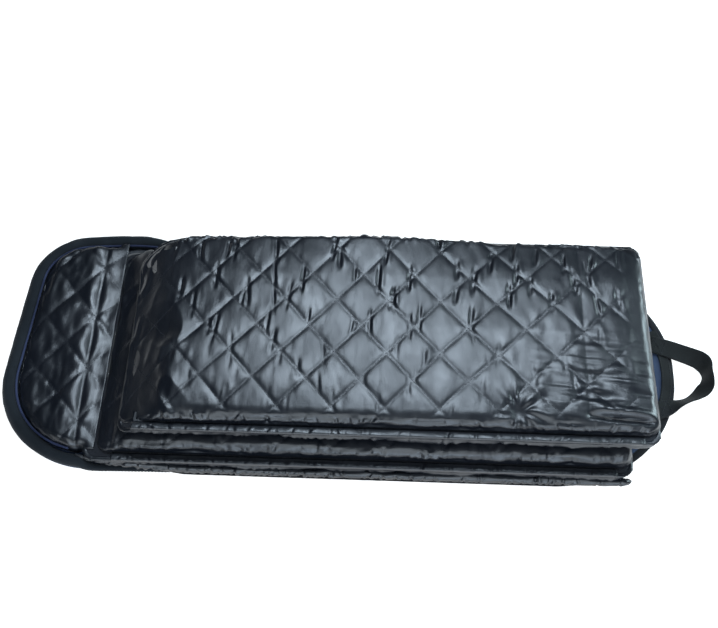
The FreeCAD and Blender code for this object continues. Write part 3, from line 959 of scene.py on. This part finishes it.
COPPER = plastic_material("flat_conductor", (0.55, 0.30, 0.18), (0.72, 0.42, 0.27), 0.35, 500.0, 0.00004, 1.0)
STEEL = plastic_material("screw_steel", grey(0.40), grey(0.55), 0.32, 800.0, 0.00003, 1.0)


def paint(obj, material):
    obj.data.materials.clear()
    obj.data.materials.append(material)


def finish_piece(obj, material, body=None):
    """Material and slot of a piece, and the body it is attached to if one is given."""
    paint(obj, material)
    if body is not None:
        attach(obj, body)


# ---------------------------------------------------------------- laminate side: face cloths and tapes
FACE_THICK = 0.85
HEM_WIDE = 7.0


def rounded_sides(x0, x1, y0, y1, radii, side_points=60, corner_points=14):
    """Plan with an elliptical corner at each end of each side, with the same number of points for any
    size.  radii are (rx, ry) at front left, front right, back right and back left."""
    corners = [(x0, y0, 1, 1, 180), (x1, y0, -1, 1, 270), (x1, y1, -1, -1, 0), (x0, y1, 1, -1, 90)]
    arcs = []
    for (x, y, sx, sy, start), (rx, ry) in zip(corners, radii):
        turns = np.radians(start + np.linspace(0, 90, corner_points))
        arcs.append(np.stack([x + sx * rx + rx * np.cos(turns), y + sy * ry + ry * np.sin(turns)], 1))
    plan = []
    for i, arc in enumerate(arcs):
        following = arcs[(i + 1) % 4][0]
        plan.append(arc)
        share = np.linspace(0, 1, side_points + 2)[1:-1, None]
        plan.append(arc[-1] + (following - arc[-1]) * share)
    return np.concatenate(plan)


def ring_solid(name, loops):
    """Closed ring from loops of points that run round it; the last loop joins the first."""
    loops = np.array(loops)
    faces = grid_faces(loops.shape[0], loops.shape[1], wrap_rows=True, wrap_columns=True)
    return mesh_object(name, loops.reshape(-1, 3), faces)


def seat(points, number):
    """Puts a panel's flat piece where that panel's cover lies."""
    if number > 2:
        lean_upper(points)
    fill_corner(points, number)
    settle(points)
    return points


def face_cloth_grid(outer, inner, face, away, number):
    """Loops of points over the upper side of a face cloth and back under it, from its outer edge in."""
    width = np.linalg.norm(outer - inner, axis=1)
    tops, bottoms = [], []
    for share in (0.0, 0.012, 0.12, 0.16, 0.32, 0.5, 0.68, 0.84, 0.88, 0.988, 1.0):
        plan = outer + (inner - outer) * share
        margin = np.minimum(share, 1 - share) * width
        hem = 0.22 * (1 - step(margin, HEM_WIDE - 1.5, HEM_WIDE))
        rounding = 0.25 * (1 - step(margin, 0, 1.2))
        wave = 0.16 * smooth_noise(plan[:, 0] / 26, plan[:, 1] / 26, 100 + number, 2)
        wave *= step(margin, 2, 14)
        height = -0.32 + hem - rounding + np.minimum(wave, 0.1)
        tops.append(np.column_stack([plan, face + away * height]))
        bottoms.append(np.column_stack([plan, face + away * (height - FACE_THICK)]))
    return np.array(tops + bottoms[::-1])


def make_face_cloth(number):
    """Cloth frame round the laminate's window, with hems at its outer and inner edges."""
    low, high = cad_box(f"quilt_cover_{number}")
    film_low, film_high = cad_box(f"front_film_{number}")
    face, away = (high[2], 1) if CELLS_UP[number] else (low[2], -1)
    edge = HEM - 0.5
    r, sx, sy = PLAN_ROUND - edge, SWEEP[0] - edge, SWEEP[1] - edge
    outer_box = (low[0] + edge, high[0] - edge, low[1] + edge, high[1] - edge)
    window_box = (film_low[0] + 3, film_high[0] - 3, film_low[1] + 3, film_high[1] - 3)
    outer = rounded_sides(*outer_box, [(r, r), (r, r), (r, r), (sx, sy)])
    inner = rounded_sides(*window_box, [(4, 4)] * 4)
    grid = seat(face_cloth_grid(outer, inner, face, away, number), number)
    obj = ring_solid(f"face_cloth_sheet_{number}", grid)
    finish_piece(obj, FACE_CLOTH, BODY_OF[number])
    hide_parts(f"face_cloth_{number}")
    tracks = []
    for plan, inset in ((outer, 5.0), (inner, -5.0)):
        line = moved_in(plan, inset)
        line = np.vstack([line, line[:1]])
        tracks.append(seat(np.column_stack([line, np.full(len(line), face - away * 0.12)]), number))
    thread = sew(f"hem_thread_{number}", tracks, 2.8, 1.2, 0.22, BODY_OF[number])


TAPE_WIDE = 26.0                # how far each leg of a tape reaches in from the fold
TAPE_HALF = 0.11                # half of the tape's thickness


def tape_section(ledge):
    """Section of a folded tape as (out, up) from the fold's line: a flat lower leg, the turn of the fold,
    and an upper leg that swells where it crosses the ledge and then lies flat."""
    legs = [(-TAPE_WIDE * (1 - k / 8), -0.17) for k in range(9)]
    swell = 0.36 * ledge
    rise = 0.17 + swell
    for turn in (-60, -30, 0, 30, 60):
        swing = math.radians(turn)
        legs.append((0.55 * math.cos(swing), (rise - 0.17) / 2 + (rise + 0.17) / 2 * math.sin(swing)))
    inner = max(ledge - 1.2, 1.0)
    for k in range(1, 11):
        share = k / 10
        legs.append((-inner * share, 0.17 + swell * math.sqrt(max(0, 1 - share ** 2))))
    legs += [(-inner - (TAPE_WIDE - inner) * k / 6, 0.17) for k in range(1, 7)]
    return np.array(legs)


def tape_relief(legs, x):
    """Gathers of a tape where it stands free of the panels; no deeper than the tape is high."""
    free = np.clip((legs[:, 1] - 0.3) / 1.6, 0, 1)
    soft = smooth_noise(x / 22, legs[:, :1] / 14, 130, 2)
    over, along = np.tile(x, (len(legs), 1)), np.tile(-legs[:, :1], (1, len(x)))
    gathers = ticks(over, along, 133, x[0], x[-1], 60, 1.3, 0, 9)
    relief = free[:, None] * (0.55 * soft + gathers)
    return np.maximum(relief, -0.8 * free[:, None] * legs[:, 1:])


def make_tape(place, bodies, edge_y, middle, ledge):
    """Satin tape that joins panel number below to the next one at their fold.  Its fold's line is at
    edge_y and at the height middle."""
    node = f"fold_tape_{place}"
    low, high = cad_box(node)
    front = ledge > 0
    reach = -1 if front else 1
    legs = tape_section(ledge)
    x = np.linspace(low[0] + 4, high[0] - 4, 330 if front else 160)
    outward = np.gradient(legs, axis=0)
    outward = unit(np.column_stack([outward[:, 1], -outward[:, 0]]))
    relief = tape_relief(legs, x)
    sides = []
    for sign in (1, -1):
        side = legs + outward * TAPE_HALF * sign
        sheet = np.zeros((len(side), len(x), 3))
        sheet[..., 0] = x
        sheet[..., 1] = edge_y + reach * (side[:, :1] + 0.35 * relief)
        sheet[..., 2] = middle + side[:, 1:] + 0.8 * relief
        sides.append(sheet)
    obj = closed_pair(f"hinge_tape_{place}", *sides)
    if "panel_4" in bodies:
        seat_tape(obj)
    finish_piece(obj, SATIN)
    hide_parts(node)
    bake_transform(obj)


def seat_tape(obj):
    """Leans the upper front tape with the upper panels."""
    flat = np.zeros(len(obj.data.vertices) * 3)
    obj.data.vertices.foreach_get("co", flat)
    points = flat.reshape(-1, 3) / MM
    lean_upper(points)
    obj.data.vertices.foreach_set("co", (points * MM).ravel())
    obj.data.update()


# ---------------------------------------------------------------- nose, rim and piping
NOSE_PLAN = [(-280, -175, 5), (-280, 175, 5), (-448, 175, 76), (-467, -175, 128)]
BASE_PLAN = [(-336.7, -175, 0.5), (412, -175, 160), (412, 156, 160), (-215, 156, 100), (-285, 175, 100),
             (-336.7, 175, 0.5)]
RIM_INSET = 10.0


def blend_nose(obj):
    """Bakes a piece's placement into its mesh."""
    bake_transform(obj)


def nose_chain(inset):
    """Nose outline moved in, from its front right end round the tip to its back right end."""
    plan = moved_in(rounded_plan(NOSE_PLAN, 4.0), inset)
    plan = plan[plan[:, 0] < FOLD_X - 4]
    angle = np.arctan2(plan[:, 1], plan[:, 0] + 337)
    return plan[np.argsort(-(angle % (2 * math.pi)))]


def from_the_front(chain):
    """The same chain of points, starting at its front end."""
    return chain[::-1] if chain[0, 1] > 0 else chain


def spline(points, spacing):
    """Smooth track through given points; any number of values a point."""
    points = np.array(points, float)
    before = 2 * points[0] - points[1]
    after = 2 * points[-1] - points[-2]
    padded = np.vstack([before, points, after])
    track = []
    for k in range(1, len(padded) - 2):
        p0, p1, p2, p3 = padded[k - 1:k + 3]
        pieces = max(2, int(np.linalg.norm((p2 - p1)[:3]) / spacing))
        for t in np.linspace(0, 1, pieces, endpoint=False):
            track.append(0.5 * (2 * p1 + (p2 - p0) * t + (2 * p0 - 5 * p1 + 4 * p2 - p3) * t ** 2
                                + (3 * p1 - p0 - 3 * p2 + p3) * t ** 3))
    track.append(points[-1])
    return np.array(track)


def rim_track():
    """Centre of the rim and its radius: (x, y, z, radius) along its length."""
    nose = nose_chain(RIM_INSET)[::-1]
    ramp = step(-nose[:, 1], 60, 165) * step(nose[:, 0], -440, -350)
    radius = RIM_INSET - 2.6 * ramp
    nose = np.column_stack([nose[:, 0], nose[:, 1] - 2.0 * ramp, 2.4 + radius, radius])
    front = [(-226, -173.0, 2.6, 0.8), (-238, -172.6, 3.4, 1.8), (-252, -172.0, 4.8, 3.0),
             (-290, -171.8, 5.6, 4.0), (-318, -172.6, 6.4, 4.2), (-330, -171.4, 8.2, 5.4)]
    back = [(-336, 164.8, 12.4, 10), (-318, 164.8, 12.2, 9.8), (-300, 164.5, 12, 9.6), (-268, 160.5, 10.4, 8),
            (-240, 156.4, 8, 5.6), (-222, 154, 5.6, 3.2), (-206, 152.4, 3.4, 1.0)]
    nose = [tuple(row) for row in from_the_front(nose)[::6]]
    return ease(spline(front + nose + back, 3.0))


def rim_seam(track):
    """Track of the seam low on the rim's outer side."""
    tangent = unit(np.gradient(track[:, :2], axis=0))
    outward = np.column_stack([-tangent[:, 1], tangent[:, 0]])
    flip = np.sign(((track[:, :2] - (-300.0, 0.0)) * outward).sum(1))[:, None]
    place = track[:, :2] + outward * flip * (track[:, 3:] * 0.88)
    return np.column_stack([place, track[:, 2] - track[:, 3] * 0.50])


def make_rim():
    """Padded rim round the nose, which runs out beside the stack at the front and the back."""
    track = rim_track()

    def ripple(path, angle):
        along = run_along(path)
        soft = smooth_noise(along / 30, np.full(len(path), angle), 151, 2)
        gathers = smooth_noise(along / 5.5, np.full(len(path), 3 + angle * 0.6), 157, 1)
        return (0.45 * soft + 0.22 * gathers) * np.clip(track[:, 3] / 9, 0, 1)

    rim = sweep_tube("nose_rim", track[:, :3], track[:, 3], sides=30, ripple=ripple)
    for vertex in rim.data.vertices:
        vertex.co.z = max(vertex.co.z, 2.3 * MM if vertex.co.x > -0.34 else 0.6 * MM)
    finish_piece(rim, RIM_CLOTH)
    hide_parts("flap_rim", "base_rim")
    blend_nose(rim)
    blend_nose(sew("rim_thread", [rim_seam(track)], 2.6, 1.6, 0.35))


PIPING_R = 1.6
PIPING_INSET = 19.4            # from the nose's outline to the piping
# where the piping runs on beside the stack at the back
PIPING_TAIL = [(-330, 155.4, 18.8), (-310, 155.2, 18.8), (-285, 154.0, 18.4), (-262, 151.4, 17.2),
               (-240, 150.6, 13.6), (-222, 150.8, 9.2), (-208, 151.4, 4.6)]


def make_piping():
    """Navy cord between the rim and the satin, from the nose's front to where the rim ends at the back."""
    nose = from_the_front(nose_chain(PIPING_INSET))
    track = [(x, y, 18.7) for x, y in nose[4::6]] + PIPING_TAIL
    cord = sweep_tube("nose_piping", ease(spline(track, 3.0)), PIPING_R, sides=10)
    finish_piece(cord, PIPING_CLOTH)
    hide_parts("flap_piping")
    blend_nose(cord)


NOSE_TOP = 27.6
NOSE_EDGE = 11.0                    # rounding of the pad's edge
NOSE_RIGHT = -321.5                 # where its satin ends, on the first panel
NOSE_STEPS = 26                     # points across one diamond
NOSE_CROSSING = (-349.0, -40.0)     # a crossing of its seams


def nose_height(x, y, edge_drop):
    """Height of the nose's satin: full over the flap, and a thin skirt over the first panel's end."""
    over = step(x, -346, -332)
    crest = np.where(x > -366, 3.0 * np.exp(-((x + 366) / 20) ** 2), 3.0 + 0.11 * (x + 366))
    full = NOSE_TOP + crest - edge_drop
    thin = 27.9 - 2.9 * step(x, -352, -328)
    thin -= edge_drop * (0.10 + 0.75 * step(np.abs(y), 146, 152))
    return full * (1 - over) + thin * over


def nose_grid():
    """Lattice lines and grid of the nose's satin, where the grid lies in plan, and how far each point is
    past the start of the rounding."""
    inset = RIM_INSET * 2 + 0.6
    edge = inset + NOSE_EDGE
    zone = moved_in(rounded_plan(NOSE_PLAN, 3.0), edge)
    zone[:, 0] = np.minimum(zone[:, 0], NOSE_RIGHT - 3)
    cross_x, cross_y = NOSE_CROSSING
    left, front, back = -467 + inset - 8, -175 + inset - 8, 175 - inset + 8
    a = lattice_lines((left - cross_x) / LATTICE_X, (NOSE_RIGHT - cross_x) / LATTICE_X, NOSE_STEPS)
    b = lattice_lines((front - cross_y) / LATTICE_Y, (back - cross_y) / LATTICE_Y, NOSE_STEPS)
    a_grid, b_grid = np.meshgrid(a, b)
    u, v = cross_x + a_grid * LATTICE_X, cross_y + b_grid * LATTICE_Y
    reach = NOSE_EDGE * math.pi / 2
    for radius, x, y, side in ((128, -467, -175, -1), (76, -449, 175, 1)):
        far = radius - edge + reach
        u, v = squash_corner(u, v, (x + radius, y - side * radius), (-far, side * far))
    flat = np.stack([u, v], -1).reshape(-1, 2)
    near = nearest_on(zone, flat)
    away = flat - near
    distance = np.linalg.norm(away, axis=1)
    inside = inside_plan(zone, flat)
    s = np.where(inside, 0, np.minimum(distance, reach))
    out = away / (distance[:, None] + 1e-9)
    place = np.where(inside[:, None], flat, near + out * (NOSE_EDGE * np.sin(s / NOSE_EDGE))[:, None])
    place[:, 0] = np.minimum(place[:, 0], NOSE_RIGHT)
    place[:, 1] *= 1 - 0.045 * step(place[:, 0], -348, -332)
    x, y = place.reshape(u.shape + (2,)).transpose(2, 0, 1)
    return a, b, a_grid, b_grid, x, y, s.reshape(u.shape)


def nose_lift(a, b, x, y, s):
    """How far the nose's satin stands off its even surface: quilted over the flap, gathered at the rim, and
    slack over the first panel's end."""
    skirt = step(x, -350, -334)
    open_part = (1 - 0.6 * step(x, -346, -328)) * (1 - 0.55 * step(s, 4, NOSE_EDGE * math.pi / 2))
    rough = 0.35 + 0.65 * step(-x, 360, 395)
    lift = puff(a, b, 1.7) - 1.4 + rough * (1.1 * crumple(x, y, 171, 26) + 0.5 * crumple(x, y, 181, 14))
    lift += 0.5 * wrinkles_at(a, b)[..., 2]
    round_nose = np.arctan2(y, x + 330)
    gathers = smooth_noise(s / 3.2 + round_nose * 3, round_nose * 16, 191, 1)
    lift = lift * open_part + 0.8 * gathers * step(s, 2, 9) * (1 - skirt) - 0.9 * (1 - skirt)
    lift += skirt * (0.7 * crumple(x, y, 171, 30) + 0.3 * smooth_noise(x / 9, y / 14, 176, 2) - 0.6)
    return np.clip(lift, -6.5, 2.6)


def make_nose_pad():
    """Quilted pad of the nose flap, whose satin runs on over the left end of the first panel."""
    a, b, a_grid, b_grid, x, y, s = nose_grid()
    base = np.stack([x, y, nose_height(x, y, NOSE_EDGE * (1 - np.cos(s / NOSE_EDGE)))], -1)
    normal = surface_axes(base)[2]
    normal[..., 2] = np.abs(normal[..., 2])
    top = base + normal * nose_lift(a_grid, b_grid, x, y, s)[..., None]
    over_base = (x > -340) & (np.abs(y) < 150)
    top[..., 2] = np.where(over_base, np.clip(top[..., 2], 24.0, 29.0), top[..., 2])
    reach = NOSE_EDGE * math.pi / 2
    floor = np.where(x > -337.4, 23.35, 2.7 + 7.0 * step(s, reach - 7, reach))
    bottom = np.stack([x, y, np.minimum(floor, top[..., 2] - 0.6)], -1)
    pad = closed_pair("nose_pad", ease(top), ease(bottom))
    tidy_mesh(pad)
    finish_piece(pad, SATIN)
    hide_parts("flap_quilt_cover", "flap_wadding")
    blend_nose(pad)
    kept = []
    for track in lattice_tracks(a, b, (0, 0), top):
        good = track[:, 0] < -326
        if good.sum() > 12:
            kept.append(track[good])
    blend_nose(sew("nose_thread", kept, 4.0, 1.2, 0.38))


def tidy_mesh(obj):
    """Merges points that fell together where a pattern was pulled in to a rounded edge."""
    work = bmesh.new()
    work.from_mesh(obj.data)
    bmesh.ops.remove_doubles(work, verts=work.verts, dist=0.05 * MM)
    bmesh.ops.dissolve_degenerate(work, edges=work.edges, dist=0.02 * MM)
    bmesh.ops.recalc_face_normals(work, faces=work.faces)
    work.to_mesh(obj.data)
    work.free()
    shade_smooth(obj.data)


# ---------------------------------------------------------------- ground cloth, binding, webbing
GROUND_THICK = 2.0
GROUND_ROWS = 90


def edge_at(plan, x):
    """Lowest and highest y of a closed plan at each x."""
    low, high = np.full(len(x), np.inf), np.full(len(x), -np.inf)
    for p, q in zip(plan, np.roll(plan, -1, 0)):
        x0, x1 = min(p[0], q[0]), max(p[0], q[0])
        hit = (x >= x0) & (x <= x1)
        share = (x[hit] - p[0]) / (q[0] - p[0] + 1e-12)
        y = p[1] + (q[1] - p[1]) * np.clip(share, 0, 1)
        low[hit], high[hit] = np.minimum(low[hit], y), np.maximum(high[hit], y)
    return low, high


def make_ground_cloth():
    """Matte cloth under the whole packet, cut to the outlines of the nose and the base."""
    nose, base = moved_in(rounded_plan(NOSE_PLAN, 3.0), 3.0), moved_in(rounded_plan(BASE_PLAN, 3.0), 3.0)
    x_left, x_right = nose[:, 0].min() + 0.02, base[:, 0].max() - 0.02
    x = x_left + (x_right - x_left) * (1 - np.cos(np.linspace(0, math.pi, 300))) / 2
    split = x < FOLD_X
    low, high = np.zeros(len(x)), np.zeros(len(x))
    low[split], high[split] = edge_at(nose, x[split])
    low[~split], high[~split] = edge_at(base, x[~split])
    share = (1 - np.cos(np.linspace(0, math.pi, GROUND_ROWS))) / 2
    grid_x = np.repeat(x[None], GROUND_ROWS, 0)
    grid_y = low + (high - low) * share[:, None]
    wave = 0.16 * smooth_noise(grid_x / 22, grid_y / 22, 201, 3)
    edge = np.minimum(grid_y - low, high - grid_y)
    top = np.stack([grid_x, grid_y, GROUND_THICK + np.minimum(wave, 0.12) * step(edge, 1, 6)], -1)
    bottom = np.stack([grid_x, grid_y, 0.12 + 0 * wave], -1)
    cloth = closed_pair("ground_cloth", ease(top), ease(bottom))
    tidy_mesh(cloth)
    finish_piece(cloth, BASE_CLOTH)
    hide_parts("base_cloth", "flap_cloth")
    blend_nose(cloth)


BINDING_HALF = (4.8, 1.7)       # half of the folded binding's width and height


def make_binding():
    """Black binding folded over the ground cloth's edge, along its front, round the tail and back."""
    plan = rounded_plan(BASE_PLAN, 3.0)
    centre = np.array([100.0, 0.0])
    angle = np.arctan2(plan[:, 1] - centre[1], plan[:, 0] - centre[0])
    plan = plan[np.argsort(angle)]
    plan = plan[plan[:, 0] > np.where(plan[:, 1] < 0, -240, -226)]
    path = ease(np.column_stack([moved_open(plan, BINDING_HALF[0] - 0.9), np.full(len(plan), 1.75)]))

    def ripple(track, turn):
        return 0.12 * smooth_noise(run_along(track) / 7, np.full(len(track), turn), 211, 2)

    run = run_along(path)
    taper = step(np.minimum(run, run[-1] - run), -8, 34)
    binding = sweep_tube("edge_binding", path, BINDING_HALF[0] * taper, sides=16, ripple=ripple,
                         squash=BINDING_HALF[1] / BINDING_HALF[0])
    finish_piece(binding, BINDING_CLOTH, "base")
    line = ease(np.column_stack([moved_open(plan, 2 * BINDING_HALF[0] - 2.2), np.full(len(plan), 3.05)]))
    sew("binding_thread", [line], 2.6, 1.3, 0.22, "base")


# (x, y, z, radius) along the middle of the satin roll under the front edge
FRONT_ROLL = [
    (-346, -160, 17.5, 1.2), (-334, -163.5, 15.4, 3.0), (-312, -165.8, 12.6, 4.2), (-280, -167.6, 10.4, 4.8),
    (-240, -169.6, 9.0, 5.0), (-200, -170.8, 8.4, 5.0), (-100, -171.1, 8.3, 5.0), (50, -171.1, 8.3, 5.0),
    (200, -171.1, 8.3, 5.0), (300, -171.0, 8.3, 5.0), (337, -170.4, 8.3, 4.9), (345, -169.4, 8.3, 4.2),
    (349, -168.4, 8.3, 2.4), (350.5, -167.8, 8.3, 0.8),
]


def make_front_roll():
    """Gathered satin roll sewn along the lower front edge of the base's pad."""
    track = spline(FRONT_ROLL, 1.1)

    def ripple(path, angle):
        run = path[:, 0]
        gathers = ticks(run, np.full(len(run), 9.0 * math.sin(angle)), 301, -340, 345, 150, 1.5, -6, 6)
        soft = smooth_noise(run / 24, np.full(len(run), angle), 303, 2)
        return (0.6 * soft + gathers) * track[:, 3] / 5.0

    roll = sweep_tube("front_roll", track[:, :3], track[:, 3], sides=22, ripple=ripple)
    finish_piece(roll, SATIN, "base")


def moved_open(track, distance):
    """An open plan track that runs anticlockwise, moved to its left."""
    tangent = unit(np.gradient(track, axis=0))
    return track + distance * np.column_stack([-tangent[:, 1], tangent[:, 0]])


STRAP_WIDE, STRAP_HIGH = 25.0, 1.7
STRAP_COLUMNS = 22              # points across a strap
BAND_WIDE, BAND_HIGH = 13.0, 1.6
TAIL_CENTRE, TAIL_RADIUS = (252.0, -9.5), 160.0


def strap_solid(name, centres, across, normals, width, thick, ribs=0.16, spacing=1.6):
    """Woven strap with a rounded selvedge on both sides and ribs across it."""
    half_w, half_t = width / 2, thick / 2
    section = []
    for k in range(STRAP_COLUMNS + 1):
        w = -half_w + width * k / STRAP_COLUMNS
        section.append((w, half_t * math.sqrt(max(0.08, 1 - abs(w / half_w) ** 12)), 1))
    section += [(w, -h, -1) for w, h, _ in reversed(section)]
    along = run_along(centres)
    rings = np.zeros((len(centres), len(section), 3))
    for k, (w, h, sign) in enumerate(section):
        rib = ribs * np.sin(2 * math.pi * along / spacing + 2.2 * abs(w) / half_w * math.pi)
        rib = rib * (abs(w) < half_w - 1.6) + 0.25 * (abs(abs(w) - half_w + 1.0) < 0.8)
        rings[:, k] = centres + across * w + normals * (h + sign * rib)[:, None]
    return capped_rings(name, rings)


def make_tail_webbing():
    """Webbing sewn along the tail's rounded edge, under the ends of the loop."""
    turns = np.radians(np.linspace(-27, 25, 300))
    radius = TAIL_RADIUS - 9.0
    out = np.column_stack([np.cos(turns), np.sin(turns), np.zeros(len(turns))])
    centres = ease(np.array([TAIL_CENTRE[0], TAIL_CENTRE[1], 3.25]) + out * radius)
    up = np.tile((0.0, 0.0, 1.0), (len(turns), 1))
    band = strap_solid("tail_band", centres, out, up, BAND_WIDE, BAND_HIGH, 0.10, 1.5)
    finish_piece(band, WEBBING, "base")
    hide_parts("tail_webbing")
    tracks = []
    for offset in (-BAND_WIDE / 2 + 1.8, BAND_WIDE / 2 - 1.8):
        line = centres + out * offset
        line[:, 2] = 4.15
        tracks.append(line)
    sew("band_thread", tracks, 2.6, 1.3, 0.3, "base")


# (x, y, z, lean in degrees) along the middle of the carry loop, from its back end to its front end
LOOP_COURSE = [
    (390, 34, 5.2, 2), (402, 30, 5.6, 3), (415, 25, 6.6, 6), (429, 18.5, 8.2, 9), (441, 12.5, 10.0, 14),
    (451, 6, 12.2, 26), (456.8, -3, 13.8, 52), (458.2, -14, 14.6, 68), (457.2, -25, 14.6, 56),
    (454.2, -34, 14.2, 38), (448.5, -42, 13.8, 36), (440, -48.5, 13.0, 46), (430, -53.5, 11.6, 54),
    (419, -57.5, 9.6, 44), (410, -60.5, 7.6, 22), (401, -63.5, 5.9, 6), (390, -67, 5.2, 2),
]


def make_loop():
    """Folded strap whose flat ends are sewn to the tail and whose bend stands on edge."""
    track = spline(LOOP_COURSE, 0.36)
    centres, lean = track[:, :3], np.radians(track[:, 3])
    tangent = unit(np.gradient(centres, axis=0))
    level = unit(tangent * (1, 1, 0))
    out = np.column_stack([-level[:, 1], level[:, 0], np.zeros(len(level))])
    out *= np.sign(((centres[:, :2] - (380, -18)) * out[:, :2]).sum(1))[:, None]
    up = np.tile((0.0, 0.0, 1.0), (len(track), 1))
    across = out * np.cos(lean)[:, None] + up * np.sin(lean)[:, None]
    across = unit(across - tangent * (across * tangent).sum(1)[:, None])
    normals = unit(np.cross(tangent, across))
    normals *= np.sign(normals[:, 2:] + 1e-6)
    loop = strap_solid("carry_strap", centres, across, normals, STRAP_WIDE, STRAP_HIGH)
    finish_piece(loop, WEBBING)
    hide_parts("carry_loop")
    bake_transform(loop)
    make_bar_tacks(centres, across, normals)


def make_bar_tacks(centres, across, normals):
    """Boxed cross stitching that holds both ends of the loop to the tail."""
    tracks = []
    half = STRAP_WIDE / 2 - 2.6
    for pick in (slice(6, 52), slice(-52, -6)):
        middle, a = centres[pick] + normals[pick] * (STRAP_HIGH / 2 + 0.28), across[pick]
        share = np.linspace(-1, 1, len(middle))[:, None]
        tracks += [middle + a * half * side for side in (1, -1, share, -share)]
        for end in (0, -1):
            tracks.append(middle[end] + a[end] * np.linspace(-half, half, 24)[:, None])
    tacks = sew("bar_tacks", tracks, 1.9, 0.7, 0.34, "base")
    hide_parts("loop_stitches")


# ---------------------------------------------------------------- the pieces
CAD_LOOKS = {
    "stiffener_board": BOARD, "backsheet": BACKSHEET, "solar_cells": CELL, "cell_ribbons": RIBBON,
    "front_film": FILM, "diode_box": BLACK_PLASTIC, "flat_leads": COPPER, "junction_screws": STEEL,
    "junction_box": BLACK_PLASTIC, "junction_lid": BLACK_PLASTIC, "output_socket": BLACK_PLASTIC,
}


def paint_hard_parts():
    """Materials of the CAD pieces that show as they are."""
    for node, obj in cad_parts.items():
        for part, look in CAD_LOOKS.items():
            if node.startswith(part):
                paint(obj, look)


paint_hard_parts()
for panel in PANELS:
    make_quilt(panel)
    make_face_cloth(panel)
make_tape("front_lower", ("base", "panel_2"), -171, 23.3, 12.0)
make_tape("back", ("panel_2", "panel_3"), 150, 43.9, 0)
make_tape("front_upper", ("panel_3", "panel_4"), -147, 64.5, 11.9)
make_ground_cloth()
make_nose_pad()
make_rim()
make_piping()
make_binding()
make_front_roll()
make_tail_webbing()
make_loop()


# ---------------------------------------------------------------- camera, lights and floor
CAMERA_TARGET = (3.4, 46.0, 40.0)
CAMERA_DISTANCE = 1632.0
CAMERA_HEIGHT_DEG, CAMERA_TURN_DEG, CAMERA_ROLL_DEG = 57.5, -4.23, -1.99
CAMERA_LENS = 61.9


def make_camera():
    """Camera at the viewing angle above, with its own axes built from height, turn and roll."""
    height, turn, roll = (math.radians(v) for v in (CAMERA_HEIGHT_DEG, CAMERA_TURN_DEG, CAMERA_ROLL_DEG))
    look = Vector((math.sin(turn) * math.cos(height), math.cos(turn) * math.cos(height), -math.sin(height)))
    right = Vector((math.cos(turn), -math.sin(turn), 0))
    up = right.cross(look)
    right, up = right * math.cos(roll) + up * math.sin(roll), up * math.cos(roll) - right * math.sin(roll)
    data = bpy.data.cameras.new("camera")
    data.lens = CAMERA_LENS
    data.sensor_width = 36.0
    data.clip_end = 50
    camera = bpy.data.objects.new("camera", data)
    camera.matrix_world = Matrix((
        (right.x, up.x, -look.x, 0), (right.y, up.y, -look.y, 0), (right.z, up.z, -look.z, 0), (0, 0, 0, 1),
    ))
    camera.location = Vector(CAMERA_TARGET) * MM - look * CAMERA_DISTANCE * MM
    bpy.context.scene.collection.objects.link(camera)
    bpy.context.scene.camera = camera


# name, place, aim and size in metres, power in watts, and colour
LIGHTS = [
    ("window", (0.12, 1.04, 2.0), (0.0, 0, 0.05), (1.12, 0.52), 25, (0.72, 0.86, 1.0)),
    ("overhead", (0.1, -3.0, 3.6), (0, 0, 0), (6.0, 3.0), 125, (0.82, 0.92, 1.0)),
    ("front", (0.3, -2.8, 1.0), (0, 0, 0), (2.4, 0.9), 32, (0.70, 0.84, 1.0)),
    ("side", (1.95, 0.9, 1.0), (0.38, 0, 0.05), (0.9, 0.9), 30, (0.72, 0.92, 1.0)),
]


def area_light(name, place, aim, size, power, colour):
    data = bpy.data.lights.new(name, "AREA")
    data.shape = "RECTANGLE"
    data.size, data.size_y = size
    data.energy = power
    data.color = colour
    light = bpy.data.objects.new(name, data)
    light.location = place
    light.rotation_euler = (Vector(aim) - Vector(place)).to_track_quat("-Z", "Y").to_euler()
    bpy.context.scene.collection.objects.link(light)


def make_stage():
    """Pale floor, faint sky and the lights."""
    bpy.ops.mesh.primitive_plane_add(size=12)
    floor = bpy.context.object
    floor.name = "floor"
    material, nodes, links, shader = node_material("pale_floor")
    vary(nodes, links, shader, "Base Color", noise_node(nodes, links, 3.0), grey(0.86), grey(0.90))
    set_inputs(shader, Roughness=0.9, Specular_IOR_Level=0.1)
    set_inputs(shader, Emission_Color=(1, 0.98, 0.95, 1), Emission_Strength=0.78)
    floor.data.materials.append(material)
    world = bpy.data.worlds.new("world")
    bpy.context.scene.world = world
    world.use_nodes = True
    set_inputs(world.node_tree.nodes["Background"], Color=(0.86, 0.93, 1.0, 1), Strength=0.02)
    for light in LIGHTS:
        area_light(*light)
    bpy.context.scene.view_settings.view_transform = "Standard"


make_camera()
make_stage()
